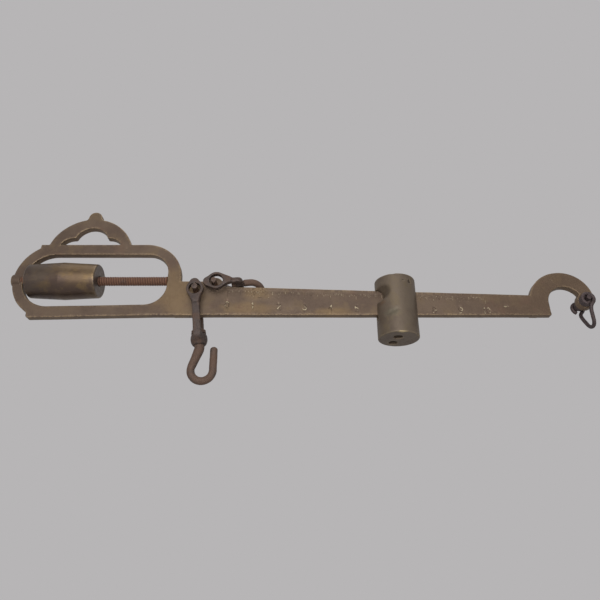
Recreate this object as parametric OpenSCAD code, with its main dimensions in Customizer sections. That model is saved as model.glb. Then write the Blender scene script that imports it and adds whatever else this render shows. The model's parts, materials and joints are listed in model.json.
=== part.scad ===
// Hanging beam scale (steelyard): a cast brass beam with a loop end that holds a screw-adjusted
// counterbalance, three knife-edge pivots, an iron hanger, an iron load clevis with its hook,
// a wire link at the tip and a sliding brass poise. Millimetres.
// Origin: on the fulcrum line, half way through the casting. +X runs along the bar to the tip,
// -Y is the graduated face, +Z is up when the beam hangs level.

/* [Beam casting] */
// Thickness of the casting
beam_t = 8; // [7:0.25:8]
// Distance from the fulcrum line back to the load pivot
load_arm = 19.05; // [18.8:0.05:20]
// Distance from the fulcrum line out to the tip pivot
tip_arm = 381; // [372:0.1:395]
// Depth of the load pivot below the fulcrum line
load_drop = 7.4; // [7:0.1:8]
// Depth of the tip pivot below the fulcrum line
tip_drop = 19.5; // [19:0.1:20]
// Depth of the bar's bottom edge below the fulcrum line
bar_bottom = 34.5; // [33.5:0.1:35.5]
// Depth of the bar's top edge below the fulcrum line, at the fulcrum
bar_top_drop = 1.46; // [1.2:0.02:1.6]
// Fall of the bar's top edge for each millimetre along it
bar_fall = 0.0315; // [0.025:0.0005:0.035]
// Height of the top edge of the loop above the fulcrum line
loop_top = 49.2; // [48:0.1:50]
// Radius of the round left end of the loop's opening
loop_hole_r = 30.4; // [30:0.1:31]

/* [Balance screw and weight] */
// Height of the balance screw's axis above the fulcrum line
screw_z = 6.1; // [5.8:0.1:6.4]
// Outside diameter of the balance screw
screw_d = 10; // [9:0.05:10.6]
// Distance from one thread to the next
screw_pitch = 2.54; // [2:0.01:3]
// Length of the counterbalance weight
weight_len = 73; // [66:1:75]
// Diameter of the weight at its middle
weight_mid_d = 39.8; // [37:0.1:41]
// Diameter of the weight at its ends
weight_end_d = 36; // [33:0.1:37]
// Distance from the fulcrum line back to the weight's outer end
weight_start = 195.3; // [190:0.1:196]

/* [Pivots] */
// Half the length of the fulcrum and load pivots
pivot_half = 16.5; // [16:0.1:17]
// Half the length of the tip pivot
tip_pivot_half = 15.5; // [15:0.1:16]
// Radius of the round back of the fulcrum pivot
fulcrum_r = 2.9; // [2.7:0.05:3]
// Radius of the round back of the load pivot
load_r = 3.2; // [3:0.05:3.3]
// Radius of the round back of the tip pivot
tip_r = 2.3; // [2.1:0.05:2.4]

/* [Iron work] */
// Distance from the middle of the casting to the inner face of an eye
eye_in = 8.8; // [8.6:0.1:9.2]
// Distance from the middle of the casting to the outer face of an eye
eye_out = 15; // [14.6:0.1:15.4]
// Diameter of the iron rod of both hooks
hook_d = 8; // [7.4:0.1:8.4]
// Lean of the hanging iron work, as it is photographed
lean = 7; // [0:0.5:8]
// Tilt of the hanger above the level when it lies on the bar
hanger_tilt = 7.5; // [7:0.1:9]
// Turn of the hanger's hook down behind the bar
hook_droop = 40; // [36:1:42]
// Diameter of the tip link's wire
link_d = 4; // [3.6:0.1:4.2]

/* [Poise] */
// Distance from the fulcrum line out to the poise's axis
poise_x = 188; // [150:0.5:280]
// Diameter of the poise
poise_d = 41.9; // [40:0.1:42]
// Height of the poise's top above the fulcrum line
poise_top = 5; // [4:0.5:6]
// Depth of the poise's bottom below the fulcrum line
poise_bottom = 59.5; // [58:0.5:61]

/* [Hidden] */
$fn = 64;

brass = [0.47, 0.40, 0.31];
brass_bright = [0.52, 0.43, 0.27];
iron = [0.33, 0.28, 0.25];
rust = [0.42, 0.26, 0.19];
lead = [0.36, 0.33, 0.31];

// Room left beside anything that turns or slides
run = 0.05;
slack = 0.3;
far = 400;
tuck = 0.97;
trim = 0.3;
swell = 1.03;

// Outline of the casting, in the plane of the bar
loop_end = -34;
loop_flat = -191;
loop_sink = 2.8;
sink_start = -60;
left_arc = [-168.9, 6.8];
left_arc_r = 43.8;
right_arc = [-76.4, 8.8];
right_arc_r = loop_top - right_arc[1];
hole_left = -171.2;
hole_right = -73;
corner_r = 22.4;
corner_low = 0;
corner_high = screw_z + loop_hole_r - corner_r;
boss_end = -213.6;
boss_len = 9.6;
boss_r = 7;
ear_r = 3;
web_top = 4.5;
fulcrum_boss_r = 8.8;
fulcrum_boss_start = -9;

arch_mid = -138.1;
arch_r = 46.2;
arch_z = 35.6;
lobe_r = 17.8;
lobe_z = 52.2;
side_lobe_r = 15.8;
side_lobe_z = 41.5;
side_lobe_off = 18.9;
knob_r = 7.3;
knob_z = 83.8;
knob_foot = [9.4, 79.5];

// The gooseneck is placed from the tip pivot, and its toe stands up from the bar's bottom edge
neck_x = tip_arm - 54.3;
crown_x = tip_arm - 22;
outer_a = [tip_arm - 20.5, -20.5];
outer_a_r = 34.95;
outer_b = [tip_arm - 19.5, -16.33];
outer_b_r = 30.85;
throat = [tip_arm - 18.4, -20.2];
throat_r = 17.8;
tip_boss = [tip_arm + 0.9, -tip_drop + 0.6];
tip_boss_r = 10.3;
toe = [[-38, 0], [-36.3, 0.5], [-35.7, 1.7], [-36.4, 6.5], [-36.2, 14]];

screw_end = -38;
screw_inset = 0.4;
tenon_r = 3;
tenon_gap = 0.5;
thread_depth = 0.6;
core_r = 8;
core_inset = 12;
weight_edge = 1.2;

// Knife edges stand this far from the axis that the eyes swing on
fulcrum_edge = 4.2;
load_edge = 4.3;
tip_edge = 3;
fulcrum_hole_r = 6.8;
load_hole_r = 6;
link_hole_r = 3.6;
fulcrum_ring_r = 9.2;
load_ring_r = 8.7;
hanger_nose = 13.6;
clevis_nose = 11.9;
nose_r = 5.2;
leg_out = 13.6;

hanger_leg_w = 6.7;
hanger_crown_in = 22;
hanger_crown_out = 29;
hanger_crown_w = 10;
hanger_corner = 4;
hanger_shank_r = 3;
hanger_head_r = 4.3;
hanger_washer_r = 4.7;
hanger_hook_r = 12;
hanger_hook_start = 36;
hanger_hook_turn = 215;

clevis_leg_w = 8.2;
clevis_crown_in = 47;
clevis_crown_out = 60;
clevis_bulge_r = 8.6;
clevis_bulge = 12;
clevis_bulge_z = 53;
clevis_corner = 6;
leg_top = 12;
clevis_head_r = 7.2;
clevis_washer_r = 7.6;
head_h = 3.6;
washer_t = 1.4;
elbow_at = 61;
elbow_r = 10;
bowl = [1.2, -85.6];
bowl_r = 10.9;
tip_flare = 6;
tip_len = 21.4;

collar_r = 6.2;
back_collar_r = 5;
collar_out = 9.7;
link_y = 12;
link_len = 26.4;
link_foot_r = 6.5;

slot_side = 0.3;
slot_floor = -39.8;
roof_gap = 0.1;
lead_r = 4.6;
lead_front = [-1.5, -5];
lead_back = [-4.5, 10.5];
lead_deep = 16;
lead_sunk = 3;
notch_r = 10.5;
notch_x = 2.5;
notch_z = -13;

// Height of the bar's top edge at a distance along it
function bar_top(x) = -bar_top_drop - bar_fall * x;

// Stand a drawing up in the plane of the bar, with a thickness across it
module plate(t, y = 0)
    translate([0, y, 0]) rotate([90, 0, 0]) linear_extrude(t, center = true) children();

// Stand a drawing up across the bar
module cross_plate(t)
    rotate([90, 0, 90]) linear_extrude(t, center = true) children();

// Two circles joined by straight sides, which start a hair inside the circles
module blend(c1, r1, c2, r2) {
    d = norm(c2 - c1);
    dir = atan2(c2[1] - c1[1], c2[0] - c1[0]);
    a = acos((r1 - r2) / d);
    translate(c1) circle(r1);
    translate(c2) circle(r2);
    polygon([for (k = [[c1, r1, -a], [c2, r2, -a], [c2, r2, a], [c1, r1, a]])
        k[0] + tuck * k[1] * [cos(dir + k[2]), sin(dir + k[2])]]);
}

// Section of a knife-edge pivot: a round back and a wedge that ends in the edge
module knife(r, edge) {
    circle(r);
    rotate(edge > 0 ? 0 : 180) polygon([[-tuck * r, 0], [tuck * r, 0], [0, abs(edge)]]);
}

// Plate with its two lower corners rounded, from z = 0 down
module rounded_foot(half, depth, r) {
    translate([-half, r - depth]) square([2 * half, depth - r]);
    translate([r - half, -depth]) square([2 * (half - r), r]);
    for (side = [-1, 1]) translate([side * (half - r), r - depth]) circle(r);
}

// Straight rod in the XZ plane from a point, turned from +Z towards +X. Its ends, like those of
// a bend, stop just short inside the knuckles that join the lengths of a bent rod.
module rod(at, turn, len, r)
    translate([at[0], 0, at[1]]) rotate([0, turn, 0])
        translate([0, 0, trim]) cylinder(h = len - 2 * trim, r = r);

// Bent rod in the XZ plane: a circle carried round a centre
module bend(c, radius, from, to, r) {
    short = trim / radius * 180 / PI;
    translate([c[0], 0, c[1]]) rotate([90, 0, 0]) rotate([0, 0, from + short])
        rotate_extrude(angle = to - from - 2 * short) translate([radius, 0]) circle(r);
}

// Slight swelling where two lengths of rod meet, or where a rod ends
module knuckle(at, r) translate([at[0], 0, at[1]]) sphere(swell * r, $fn = 48);

// Frames of the parts that swing
module at_load() translate([-load_arm, 0, -load_drop]) rotate([0, -lean, 0]) children();
module at_tip() translate([tip_arm, 0, -tip_drop]) rotate([0, -lean, 0]) children();
module at_hanger() rotate([0, 90 - hanger_tilt, 0]) rotate([180, 0, 0]) children();

// Beam casting

module pivot_holes() {
    knife(fulcrum_r, -fulcrum_edge);
    translate([-load_arm, -load_drop]) knife(load_r, load_edge);
    translate([tip_arm, -tip_drop]) knife(tip_r, tip_edge);
}

module beam_bar() color(brass) plate(beam_t) difference() {
    union() {
        polygon([[loop_end, -bar_bottom], [neck_x, -bar_bottom], [neck_x, bar_top(neck_x)],
                 [0, bar_top(0)], [fulcrum_boss_start, web_top], [loop_end, web_top]]);
        circle(fulcrum_boss_r);
    }
    pivot_holes();
}

module loop_outline() {
    intersection() {
        translate(left_arc) circle(left_arc_r, $fn = 128);
        translate([-far, -far]) square([far + loop_flat + 1, 2 * far]);
    }
    difference() {
        polygon([[loop_flat, -bar_bottom - loop_sink], [sink_start, -bar_bottom],
                 [loop_end, -bar_bottom], [loop_end, web_top], [right_arc[0], web_top],
                 [right_arc[0], loop_top], [loop_flat, loop_top]]);
        translate([loop_flat, -bar_bottom - loop_sink]) difference() {
            translate([-1, -1]) square(ear_r + 1);
            translate([ear_r, ear_r]) circle(ear_r);
        }
    }
    intersection() {
        translate(right_arc) circle(right_arc_r, $fn = 128);
        translate([right_arc[0] - 1, 0]) square([loop_end - right_arc[0] + 1, loop_top]);
    }
}

// Round at its left end, with two round corners at its right end
module loop_opening() {
    translate([hole_left, screw_z]) circle(loop_hole_r, $fn = 128);
    for (z = [corner_low, corner_high]) translate([hole_right, z]) circle(corner_r, $fn = 128);
    polygon([[hole_left, screw_z - loop_hole_r], [hole_right, corner_low - corner_r],
             [hole_right, corner_high + corner_r], [hole_left, screw_z + loop_hole_r]]);
    translate([hole_right, corner_low]) square([corner_r, corner_high - corner_low]);
}

module beam_loop() color(brass) difference() {
    union() {
        plate(beam_t) loop_outline();
        translate([boss_end, 0, screw_z]) rotate([0, 90, 0]) cylinder(h = boss_len, r = boss_r);
    }
    plate(3 * beam_t) loop_opening();
    translate([boss_end - 1, 0, screw_z]) rotate([0, 90, 0])
        cylinder(h = hole_left - boss_end, d = screw_d);
    translate([hole_right, 0, screw_z]) rotate([0, 90, 0])
        cylinder(h = screw_end - hole_right, r = tenon_r);
}

module beam_arch() color(brass) plate(beam_t) difference() {
    union() {
        translate([arch_mid, arch_z]) circle(arch_r, $fn = 128);
        translate([arch_mid, knob_z]) circle(knob_r);
        polygon([for (k = [[-1, knob_foot], [1, knob_foot], [1, [knob_r, knob_z]], [-1, [knob_r, knob_z]]])
            [arch_mid + k[0] * k[1][0], k[1][1]]]);
    }
    translate([arch_mid, lobe_z]) circle(lobe_r);
    for (side = [-1, 1]) translate([arch_mid + side * side_lobe_off, side_lobe_z]) circle(side_lobe_r);
    translate([-far, loop_top - far]) square([2 * far, far]);
}

module beam_gooseneck() color(brass) plate(beam_t) difference() {
    union() {
        difference() {
            union() {
                intersection() {
                    translate(outer_a) circle(outer_a_r, $fn = 128);
                    translate([neck_x, -bar_bottom]) square([crown_x - neck_x, far]);
                }
                intersection() {
                    translate(outer_b) circle(outer_b_r, $fn = 128);
                    translate([crown_x - 0.01, tip_boss[1]]) square([far, far]);
                }
            }
            translate(throat) circle(throat_r);
            translate([throat[0] - throat_r, -far]) square([far, far + throat[1]]);
        }
        polygon(concat([[neck_x, throat[1] - 1], [neck_x, -bar_bottom]],
                       [for (p = toe) [tip_arm + p[0], p[1] - bar_bottom]]));
        translate(tip_boss) circle(tip_boss_r);
    }
    pivot_holes();
}

// Balance screw: ridges of thread between the boss and the far wall of the loop

module balance_screw() color(rust) translate([boss_end, 0, screw_z]) rotate([0, 90, 0]) {
    span = screw_end - boss_end;
    wall = hole_left - loop_hole_r - boss_end;
    reach = hole_right + corner_r - tenon_gap - boss_end;
    turns = floor((reach - wall) / screw_pitch);
    r = screw_d / 2;
    rotate_extrude() polygon(concat(
        [[0, screw_inset], [r, screw_inset], [r, wall]],
        [for (i = [0 : turns - 1], k = [[0.25, thread_depth], [0.75, 0]])
            [r - k[1], wall + (i + k[0]) * screw_pitch]],
        [[r, reach], [tenon_r, reach], [tenon_r, span], [0, span]]));
}

// Counterbalance weight: a barrel that tapers to both ends, on a tapped core

module counterbalance_core() color(brass)
    translate([-weight_start + core_inset, 0, screw_z]) rotate([0, 90, 0]) difference() {
        cylinder(h = weight_len - 2 * core_inset, r = core_r);
        translate([0, 0, -1]) cylinder(h = weight_len, r = screw_d / 2 + run);
    }

module counterbalance_weight() color(brass_bright)
    translate([-weight_start, 0, screw_z]) rotate([0, 90, 0]) difference() {
        rotate_extrude($fn = 128) polygon([
            [0, 0], [weight_end_d / 2 - weight_edge, 0], [weight_end_d / 2, weight_edge],
            [weight_mid_d / 2, weight_len / 2 - 3], [weight_mid_d / 2, weight_len / 2 + 3],
            [weight_end_d / 2, weight_len - weight_edge],
            [weight_end_d / 2 - weight_edge, weight_len], [0, weight_len]]);
        translate([0, 0, -1]) cylinder(h = weight_len + 2, r = screw_d / 2 + slack);
        translate([0, 0, core_inset - run])
            cylinder(h = weight_len - 2 * (core_inset - run), r = core_r + run);
    }

// Knife-edge pivots, driven through the casting

module fulcrum_pivot() color(iron) plate(2 * pivot_half) knife(fulcrum_r, -fulcrum_edge);

module load_pivot() color(iron) translate([-load_arm, 0, -load_drop])
    plate(2 * pivot_half) knife(load_r, load_edge);

module tip_pivot() color(iron) translate([tip_arm, 0, -tip_drop])
    plate(2 * tip_pivot_half) knife(tip_r, tip_edge);

module tip_collar(side, r) color(iron) translate([tip_arm, 0, -tip_drop])
    plate(collar_out - beam_t / 2, side * (collar_out + beam_t / 2) / 2) difference() {
        circle(r);
        knife(tip_r, tip_edge);
    }

module tip_collar_front() tip_collar(-1, collar_r);
module tip_collar_back() tip_collar(1, back_collar_r);

// Forks: two eyes on legs that meet in a crown. The nose of an eye points to +Z,
// its hole hangs below the pivot's axis, and the legs run down to the crown.

module eyes(hole_r, ring_r, nose, drop, leg_w)
    for (side = [-1, 1]) plate(eye_out - eye_in, side * (eye_out + eye_in) / 2) difference() {
        union() {
            blend([0, -drop], ring_r, [0, nose - nose_r - drop], nose_r);
            blend([0, -drop], ring_r, [0, -drop - 1.35 * ring_r], leg_w / 2);
        }
        translate([0, -drop]) circle(hole_r);
    }

module legs(leg_w, crown_in, crown_out, corner) intersection() {
    cross_plate(leg_w) difference() {
        rounded_foot(leg_out, crown_out, corner);
        translate([-eye_in, -1]) square([2 * eye_in, 2]);
        rounded_foot(eye_in, crown_in, corner / 3);
    }
    translate([-leg_w, -leg_out, -crown_out]) cube([2 * leg_w, 2 * leg_out, crown_out - leg_top]);
}

module clevis_barrel() rotate_extrude() intersection() {
    translate([clevis_bulge_r - clevis_bulge, -clevis_bulge_z]) circle(clevis_bulge);
    translate([0, -clevis_crown_out]) square([clevis_bulge_r, clevis_crown_out - clevis_crown_in]);
}

module load_clevis() color(iron) at_load() difference() {
    union() {
        eyes(load_hole_r, load_ring_r, clevis_nose, load_hole_r - load_edge - run, clevis_leg_w);
        legs(clevis_leg_w, clevis_crown_in, clevis_crown_out - 4, clevis_corner);
        clevis_barrel();
    }
    translate([0, 0, -far]) cylinder(h = far, r = hook_d / 2 + run);
}

module fulcrum_hanger() color(iron) at_hanger() difference() {
    union() {
        eyes(fulcrum_hole_r, fulcrum_ring_r, hanger_nose, fulcrum_hole_r - fulcrum_edge - run,
             hanger_leg_w);
        legs(hanger_leg_w, hanger_crown_in, hanger_crown_out, hanger_corner);
        translate([0, 0, -hanger_crown_out]) cylinder(h = hanger_crown_out - hanger_crown_in, r = hanger_crown_w / 2);
    }
    translate([0, 0, -far]) cylinder(h = far, r = hanger_shank_r + run);
}

// Hooks: each turns in its crown and is held there by a riveted head over a washer

module washer(r, hole_r, at) translate([0, 0, at]) difference() {
    cylinder(h = washer_t, r = r);
    translate([0, 0, -1]) cylinder(h = washer_t + 2, r = hole_r);
}

module riveted_head(r, at) translate([0, 0, at]) rotate_extrude()
    polygon([[0, 0], [r, 0], [r, head_h * 0.45], [r * 0.72, head_h * 0.85], [0, head_h]]);

module load_washer() color(rust) at_load()
    washer(clevis_washer_r, hook_d / 2 + run, -clevis_crown_in + run);

module load_hook() color(rust) at_load() {
    r = hook_d / 2;
    head_at = -clevis_crown_in + washer_t + 2 * run;
    elbow = [-elbow_r, -elbow_at];
    away = bowl - elbow;
    turn = asin((elbow_r + bowl_r) / norm(away)) - atan2(away[0], -away[1]);
    straight = sqrt(pow(norm(away), 2) - pow(elbow_r + bowl_r, 2));
    rise = bowl + bowl_r * [cos(tip_flare), -sin(tip_flare)];
    out = [cos(turn), -sin(turn)];
    rod_end = rise + tip_len * [sin(tip_flare), cos(tip_flare)];
    riveted_head(clevis_head_r, head_at);
    translate([0, 0, trim - elbow_at]) cylinder(h = head_at + elbow_at - trim, r = r);
    knuckle([0, -elbow_at], r);
    bend(elbow, elbow_r, -turn, 0, r);
    knuckle(elbow + elbow_r * out, r);
    rod(elbow + elbow_r * out, 180 + turn, straight, r);
    knuckle(bowl - bowl_r * out, r);
    bend(bowl, bowl_r, 180 - turn, 360 - tip_flare, r);
    knuckle(rise, r);
    rod(rise, tip_flare, tip_len, r);
    knuckle(rod_end, r);
}

module hanger_washer() color(rust) at_hanger()
    washer(hanger_washer_r, hanger_shank_r + run, -hanger_crown_in + run);

module hanger_hook() color(rust) at_hanger() rotate([0, 0, hook_droop - 90]) {
    r = hook_d / 2;
    head_at = -hanger_crown_in + washer_t + 2 * run;
    end = 180 + hanger_hook_turn;
    shoulder = hanger_crown_out + slack;
    curl = [hanger_hook_r, -hanger_hook_start];
    riveted_head(hanger_head_r, head_at);
    translate([0, 0, -shoulder - 1]) cylinder(h = head_at + shoulder + 1, r = hanger_shank_r);
    translate([0, 0, trim - hanger_hook_start]) cylinder(h = hanger_hook_start - shoulder - trim, r = r);
    knuckle([0, -hanger_hook_start], r);
    bend(curl, hanger_hook_r, 180, end, r);
    knuckle(curl + hanger_hook_r * [cos(end), sin(end)], r);
}

// Tip link: one wire bent into two rings and the loop that hangs below them

module tip_link() color(iron) at_tip() {
    r = link_d / 2;
    drop = link_hole_r - tip_edge - run;
    ring_r = link_hole_r + r;
    top = -drop - ring_r;
    foot = -link_len + link_foot_r;
    splay = atan2(link_y - link_foot_r, top - foot);
    leg = (top - foot) / cos(splay);
    for (side = [-1, 1]) {
        translate([0, side * link_y, -drop]) rotate([90, 0, 0])
            rotate_extrude() translate([ring_r, 0]) circle(r);
        translate([0, side * link_y, 0]) knuckle([0, top], r);
        translate([0, side * link_foot_r, 0]) knuckle([0, foot], r);
        translate([0, side * link_foot_r, foot]) rotate([-side * splay, 0, 0])
            translate([0, 0, trim]) cylinder(h = leg - 2 * trim, r = r);
    }
    rotate([0, 0, 90]) bend([0, foot], link_foot_r, 180, 360, r);
}

// Poise: a cylinder with a slot for the bar, whose roof rides on the top edge

module lead_place(spot) translate([poise_x + spot[0], spot[1], -poise_bottom]) children();

module poise() color(brass) difference() {
    translate([poise_x, 0, -poise_bottom]) cylinder(h = poise_top + poise_bottom, d = poise_d, $fn = 128);
    plate(beam_t + 2 * slot_side)
        polygon([[poise_x - poise_d, slot_floor], [poise_x + poise_d, slot_floor],
                 [poise_x + poise_d, bar_top(poise_x + poise_d) + roof_gap],
                 [poise_x - poise_d, bar_top(poise_x - poise_d) + roof_gap]]);
    for (spot = [lead_front, lead_back])
        lead_place(spot) translate([0, 0, -1]) cylinder(h = lead_deep + 1, r = lead_r);
    translate([poise_x - poise_d / 2 + notch_x, -beam_t / 2, notch_z]) rotate([90, 0, 0])
        cylinder(h = poise_d, r = notch_r);
}

module poise_lead(spot) color(lead) lead_place(spot)
    translate([0, 0, lead_sunk]) cylinder(h = lead_deep - lead_sunk, r = lead_r);

module poise_lead_front() poise_lead(lead_front);
module poise_lead_back() poise_lead(lead_back);

beam_bar();
beam_loop();
beam_arch();
beam_gooseneck();
balance_screw();
fulcrum_pivot();
load_pivot();
tip_pivot();
tip_collar_front();
tip_collar_back();
counterbalance_core();
counterbalance_weight();
fulcrum_hanger();
hanger_hook();
hanger_washer();
load_clevis();
load_hook();
load_washer();
tip_link();
poise();
poise_lead_front();
poise_lead_back();
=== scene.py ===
"""Looks of an old hanging beam scale: worn cast brass, forged iron and a rusty balance screw.

Shapes are worked out in millimetres in the part's own frame: the origin is the fulcrum line, +X runs
out to the tip, -Y is the graduated face and +Z is up. A mesh is scaled to metres as it is made.
"""
import json
import math

import bmesh
import bpy
import numpy as np
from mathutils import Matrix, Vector
from mathutils.geometry import delaunay_2d_cdt


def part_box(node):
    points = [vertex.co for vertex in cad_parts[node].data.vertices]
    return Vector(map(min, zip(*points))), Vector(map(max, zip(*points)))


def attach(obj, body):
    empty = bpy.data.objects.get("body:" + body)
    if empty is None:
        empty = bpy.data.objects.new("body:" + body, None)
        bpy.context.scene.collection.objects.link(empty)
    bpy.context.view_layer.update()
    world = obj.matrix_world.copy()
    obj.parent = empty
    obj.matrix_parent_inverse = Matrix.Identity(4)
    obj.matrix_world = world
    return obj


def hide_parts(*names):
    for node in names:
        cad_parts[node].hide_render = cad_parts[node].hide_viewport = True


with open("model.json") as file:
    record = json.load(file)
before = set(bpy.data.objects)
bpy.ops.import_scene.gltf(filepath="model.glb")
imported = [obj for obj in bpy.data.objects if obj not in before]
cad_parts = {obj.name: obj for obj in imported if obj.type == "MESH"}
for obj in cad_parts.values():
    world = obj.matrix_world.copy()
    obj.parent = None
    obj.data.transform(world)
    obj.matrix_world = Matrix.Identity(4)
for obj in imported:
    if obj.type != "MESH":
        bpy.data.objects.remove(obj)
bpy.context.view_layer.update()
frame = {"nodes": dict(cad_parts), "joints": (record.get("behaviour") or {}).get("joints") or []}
MM = 0.001
scene = bpy.context.scene


# Sizes that the frame gives

def corners(node):
    """Lowest and highest corner of a CAD node at rest, in millimetres."""
    return [np.array(corner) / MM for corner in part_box(node)]


joints = {joint["name"]: joint for joint in frame["joints"]}
FULCRUM, LOAD, TIP = (np.array(joints[name]["pos_m"]) / MM
                      for name in ("hanger_hinge", "clevis_hinge", "tip_link_hinge"))
LEAN = math.asin(joints["load_hook_swivel"]["axis"][0])
HANGER_TILT = math.asin(joints["hanger_hook_swivel"]["axis"][2])
slide = joints["poise_slide"]["axis"]
BAR_FALL = -slide[2] / slide[0]

bar_low, bar_high = corners("beam_bar")
loop_low, loop_high = corners("beam_loop")
weight_low, weight_high = corners("counterbalance_weight")
screw_low, screw_high = corners("balance_screw")
poise_low, poise_high = corners("poise")
NECK_X = bar_high[0]
BOTTOM = bar_low[2]
LOOP_TOP = loop_high[2]
BOSS_END = loop_low[0]
AXIS_Z = (weight_low[2] + weight_high[2]) / 2
POISE_X = (poise_low[0] + poise_high[0]) / 2
POISE_R = (poise_high[0] - poise_low[0]) / 2

# Sizes of the casting, as in the part
HALF_T = 3.95
EDGE = 0.9
WEAR_COARSE, WEAR_FINE = 0.05, 0.03
BAR_TOP_DROP = 1.46
LEFT_ARC, LEFT_ARC_R = (-168.9, 6.8), 43.8
RIGHT_ARC, RIGHT_ARC_R = (-76.4, 8.8), 40.4
LOOP_FLAT, LOOP_SINK, SINK_START = -191.0, 2.8, -60.0
HOLE_LEFT, HOLE_R = -171.2, 30.4
HOLE_RIGHT, CORNER_R, CORNER_LOW, CORNER_HIGH = -73.0, 22.4, 0.0, 14.1
BOSS_R, BOSS_LENGTH = 7.0, 9.6
WEB_TOP = 4.5
FULCRUM_BOSS_R, FULCRUM_BOSS_START = 8.8, -9.0
ARCH_MID, ARCH_Z, ARCH_R = -138.1, 35.6, 46.2
LOBE_R, LOBE_Z = 17.8, 52.2
SIDE_LOBE_R, SIDE_LOBE_Z, SIDE_LOBE_OFF = 15.8, 41.5, 18.9
KNOB_R, KNOB_Z, KNOB_FOOT = 7.3, 83.8, (9.4, 79.5)
CROWN_X = TIP[0] - 22
OUTER_A, OUTER_A_R = (TIP[0] - 20.5, -20.5), 34.95
OUTER_B, OUTER_B_R = (TIP[0] - 19.5, -16.33), 30.85
THROAT, THROAT_R = (TIP[0] - 18.4, -20.2), 17.8
TIP_BOSS, TIP_BOSS_R = (TIP[0] + 2.3, TIP[2] + 1.8), 8.9
TOE_X, TOE_FLARE, TOE_START, TOE_HEIGHT = TIP[0] - 36.3, 0.55, -27.5, 5.5

# Graduations: the bar's numerals run from 0 to 10
ZERO_X, DIVISION, LAST_NUMERAL = 13.8, 26.55, 10
NUMERAL_H, NUMERAL_W = 6.2, 4.3
TWO_DIGIT_WIDTH, DIGIT_PITCH, DIGIT_GAP = 0.8, 1.15, 0.15
STROKE_FLOOR, STROKE_EDGE = 0.2, 0.55
TICK_HALF_WIDTH = 0.22
NUMERAL_Z, NUMERAL_FALL = -22.6, (1.12, -0.042)
TICK_TOP = 4.3
TICK_LENGTHS = {16: 7.2, 4: 4.4, 1: 2.9}
NUMERAL_DEPTH, TICK_DEPTH = 0.36, 0.3

# Sizes of the ironwork, as in the part
EYE_IN, EYE_OUT, LEG_OUT = 8.8, 15.0, 13.6
NOSE_R = 5.2
HEAD_H, WASHER_T = 3.6, 1.4

# Sizes of the poise, as in the part: its slot, the two holes in its foot and its reading notch
SLOT_HALF, SLOT_FLOOR = 4.3, -39.8
LEAD_HOLES, LEAD_HOLE_R, LEAD_HOLE_DEPTH = ((-1.5, -5.0), (-4.5, 10.5)), 4.6, 16
NOTCH_R, NOTCH_Z = 10.4, -13

# Spacing of the grids that the forks and the poise are drawn on
FORK_STEP, POISE_STEP = 0.62, 0.66


# Numbers on whole arrays

def steady_random(cell, seed):
    """A value from 0 to 1 for each whole-number lattice cell, from mixing the bits of its numbers."""
    mixed = (cell.astype(np.int64) * np.array([73856093, 19349663, 83492791])).sum(-1) + seed * 7919
    mixed = (mixed ^ (mixed >> 13)) * 1274126177
    mixed = mixed ^ (mixed >> 16)
    return (mixed & 0xFFFF) / 0xFFFF


def noise(points, size, seed=0):
    """Smooth bumps about `size` mm across, from -1 to 1: lattice values blended by smoothstep."""
    place = points / size
    base = np.floor(place)
    part = place - base
    part = part * part * (3 - 2 * part)
    total = 0
    for corner in np.ndindex(2, 2, 2):
        weight = np.prod(np.where(corner, part, 1 - part), -1)
        total = total + weight * steady_random(base + corner, seed)
    return 2 * total - 1


def flat_noise(x, z, size, seed=0):
    """The same bumps over the plane of the bar."""
    return noise(np.stack([x, np.zeros_like(x), z], -1), size, seed)


def smoothstep(value, low, high):
    """From 0 at low to 1 at high, level at both ends."""
    t = np.clip((value - low) / (high - low), 0, 1)
    return t * t * (3 - 2 * t)


def soft_min(a, b, reach):
    """The lesser of two fields with a fillet: where they differ by less than reach, a quadratic
    blend dips below both, by a quarter of reach where they are equal."""
    share = np.clip(0.5 + 0.5 * (b - a) / reach, 0, 1)
    return b + (a - b) * share - reach * share * (1 - share)


def soft_max(a, b, reach):
    """The greater of two fields, rounded off in the same way."""
    return -soft_min(-a, -b, reach)


def circle(x, z, centre, radius):
    """Distance outside a circle."""
    return np.hypot(x - centre[0], z - centre[1]) - radius


def rounded_corner(a, b, radius):
    """Distance outside the corner that two faces make, given how far outside each a point is."""
    a, b = a + radius, b + radius
    return np.hypot(np.maximum(a, 0), np.maximum(b, 0)) + np.minimum(np.maximum(a, b), 0) - radius


def pear(x, z, low, low_r, high, high_r):
    """Distance outside two circles on the line x = 0 and the straight sides that join them."""
    x, z, rise = np.abs(x), z - low, high - low
    lean = (low_r - high_r) / rise
    upright = math.sqrt(1 - lean * lean)
    along = -lean * x + upright * z
    side = x * upright + z * lean - low_r
    return np.where(along < 0, np.hypot(x, z) - low_r,
                    np.where(along > upright * rise, np.hypot(x, z - rise) - high_r, side))


def turn(axis, angle):
    """Matrix that turns points about X, Y or Z by an angle, right-handed."""
    c, s = math.cos(angle), math.sin(angle)
    a, b = [(1, 2), (2, 0), (0, 1)]["XYZ".index(axis)]
    matrix = np.eye(3)
    matrix[a, a] = matrix[b, b] = c
    matrix[a, b], matrix[b, a] = -s, s
    return matrix


AT_LOAD = (turn("Y", -LEAN), LOAD)
AT_TIP = (turn("Y", -LEAN), TIP)
AT_HANGER = (turn("Y", math.pi / 2 - HANGER_TILT) @ turn("X", math.pi), FULCRUM)
HOOK_TURN = math.radians(-50)
AT_HANGER_HOOK = (AT_HANGER[0] @ turn("Z", HOOK_TURN), FULCRUM)


def placed(points, spot):
    """Points of a part's own frame, turned and moved into the row's frame."""
    return points @ spot[0].T + spot[1]


# Surfaces from fields

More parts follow.
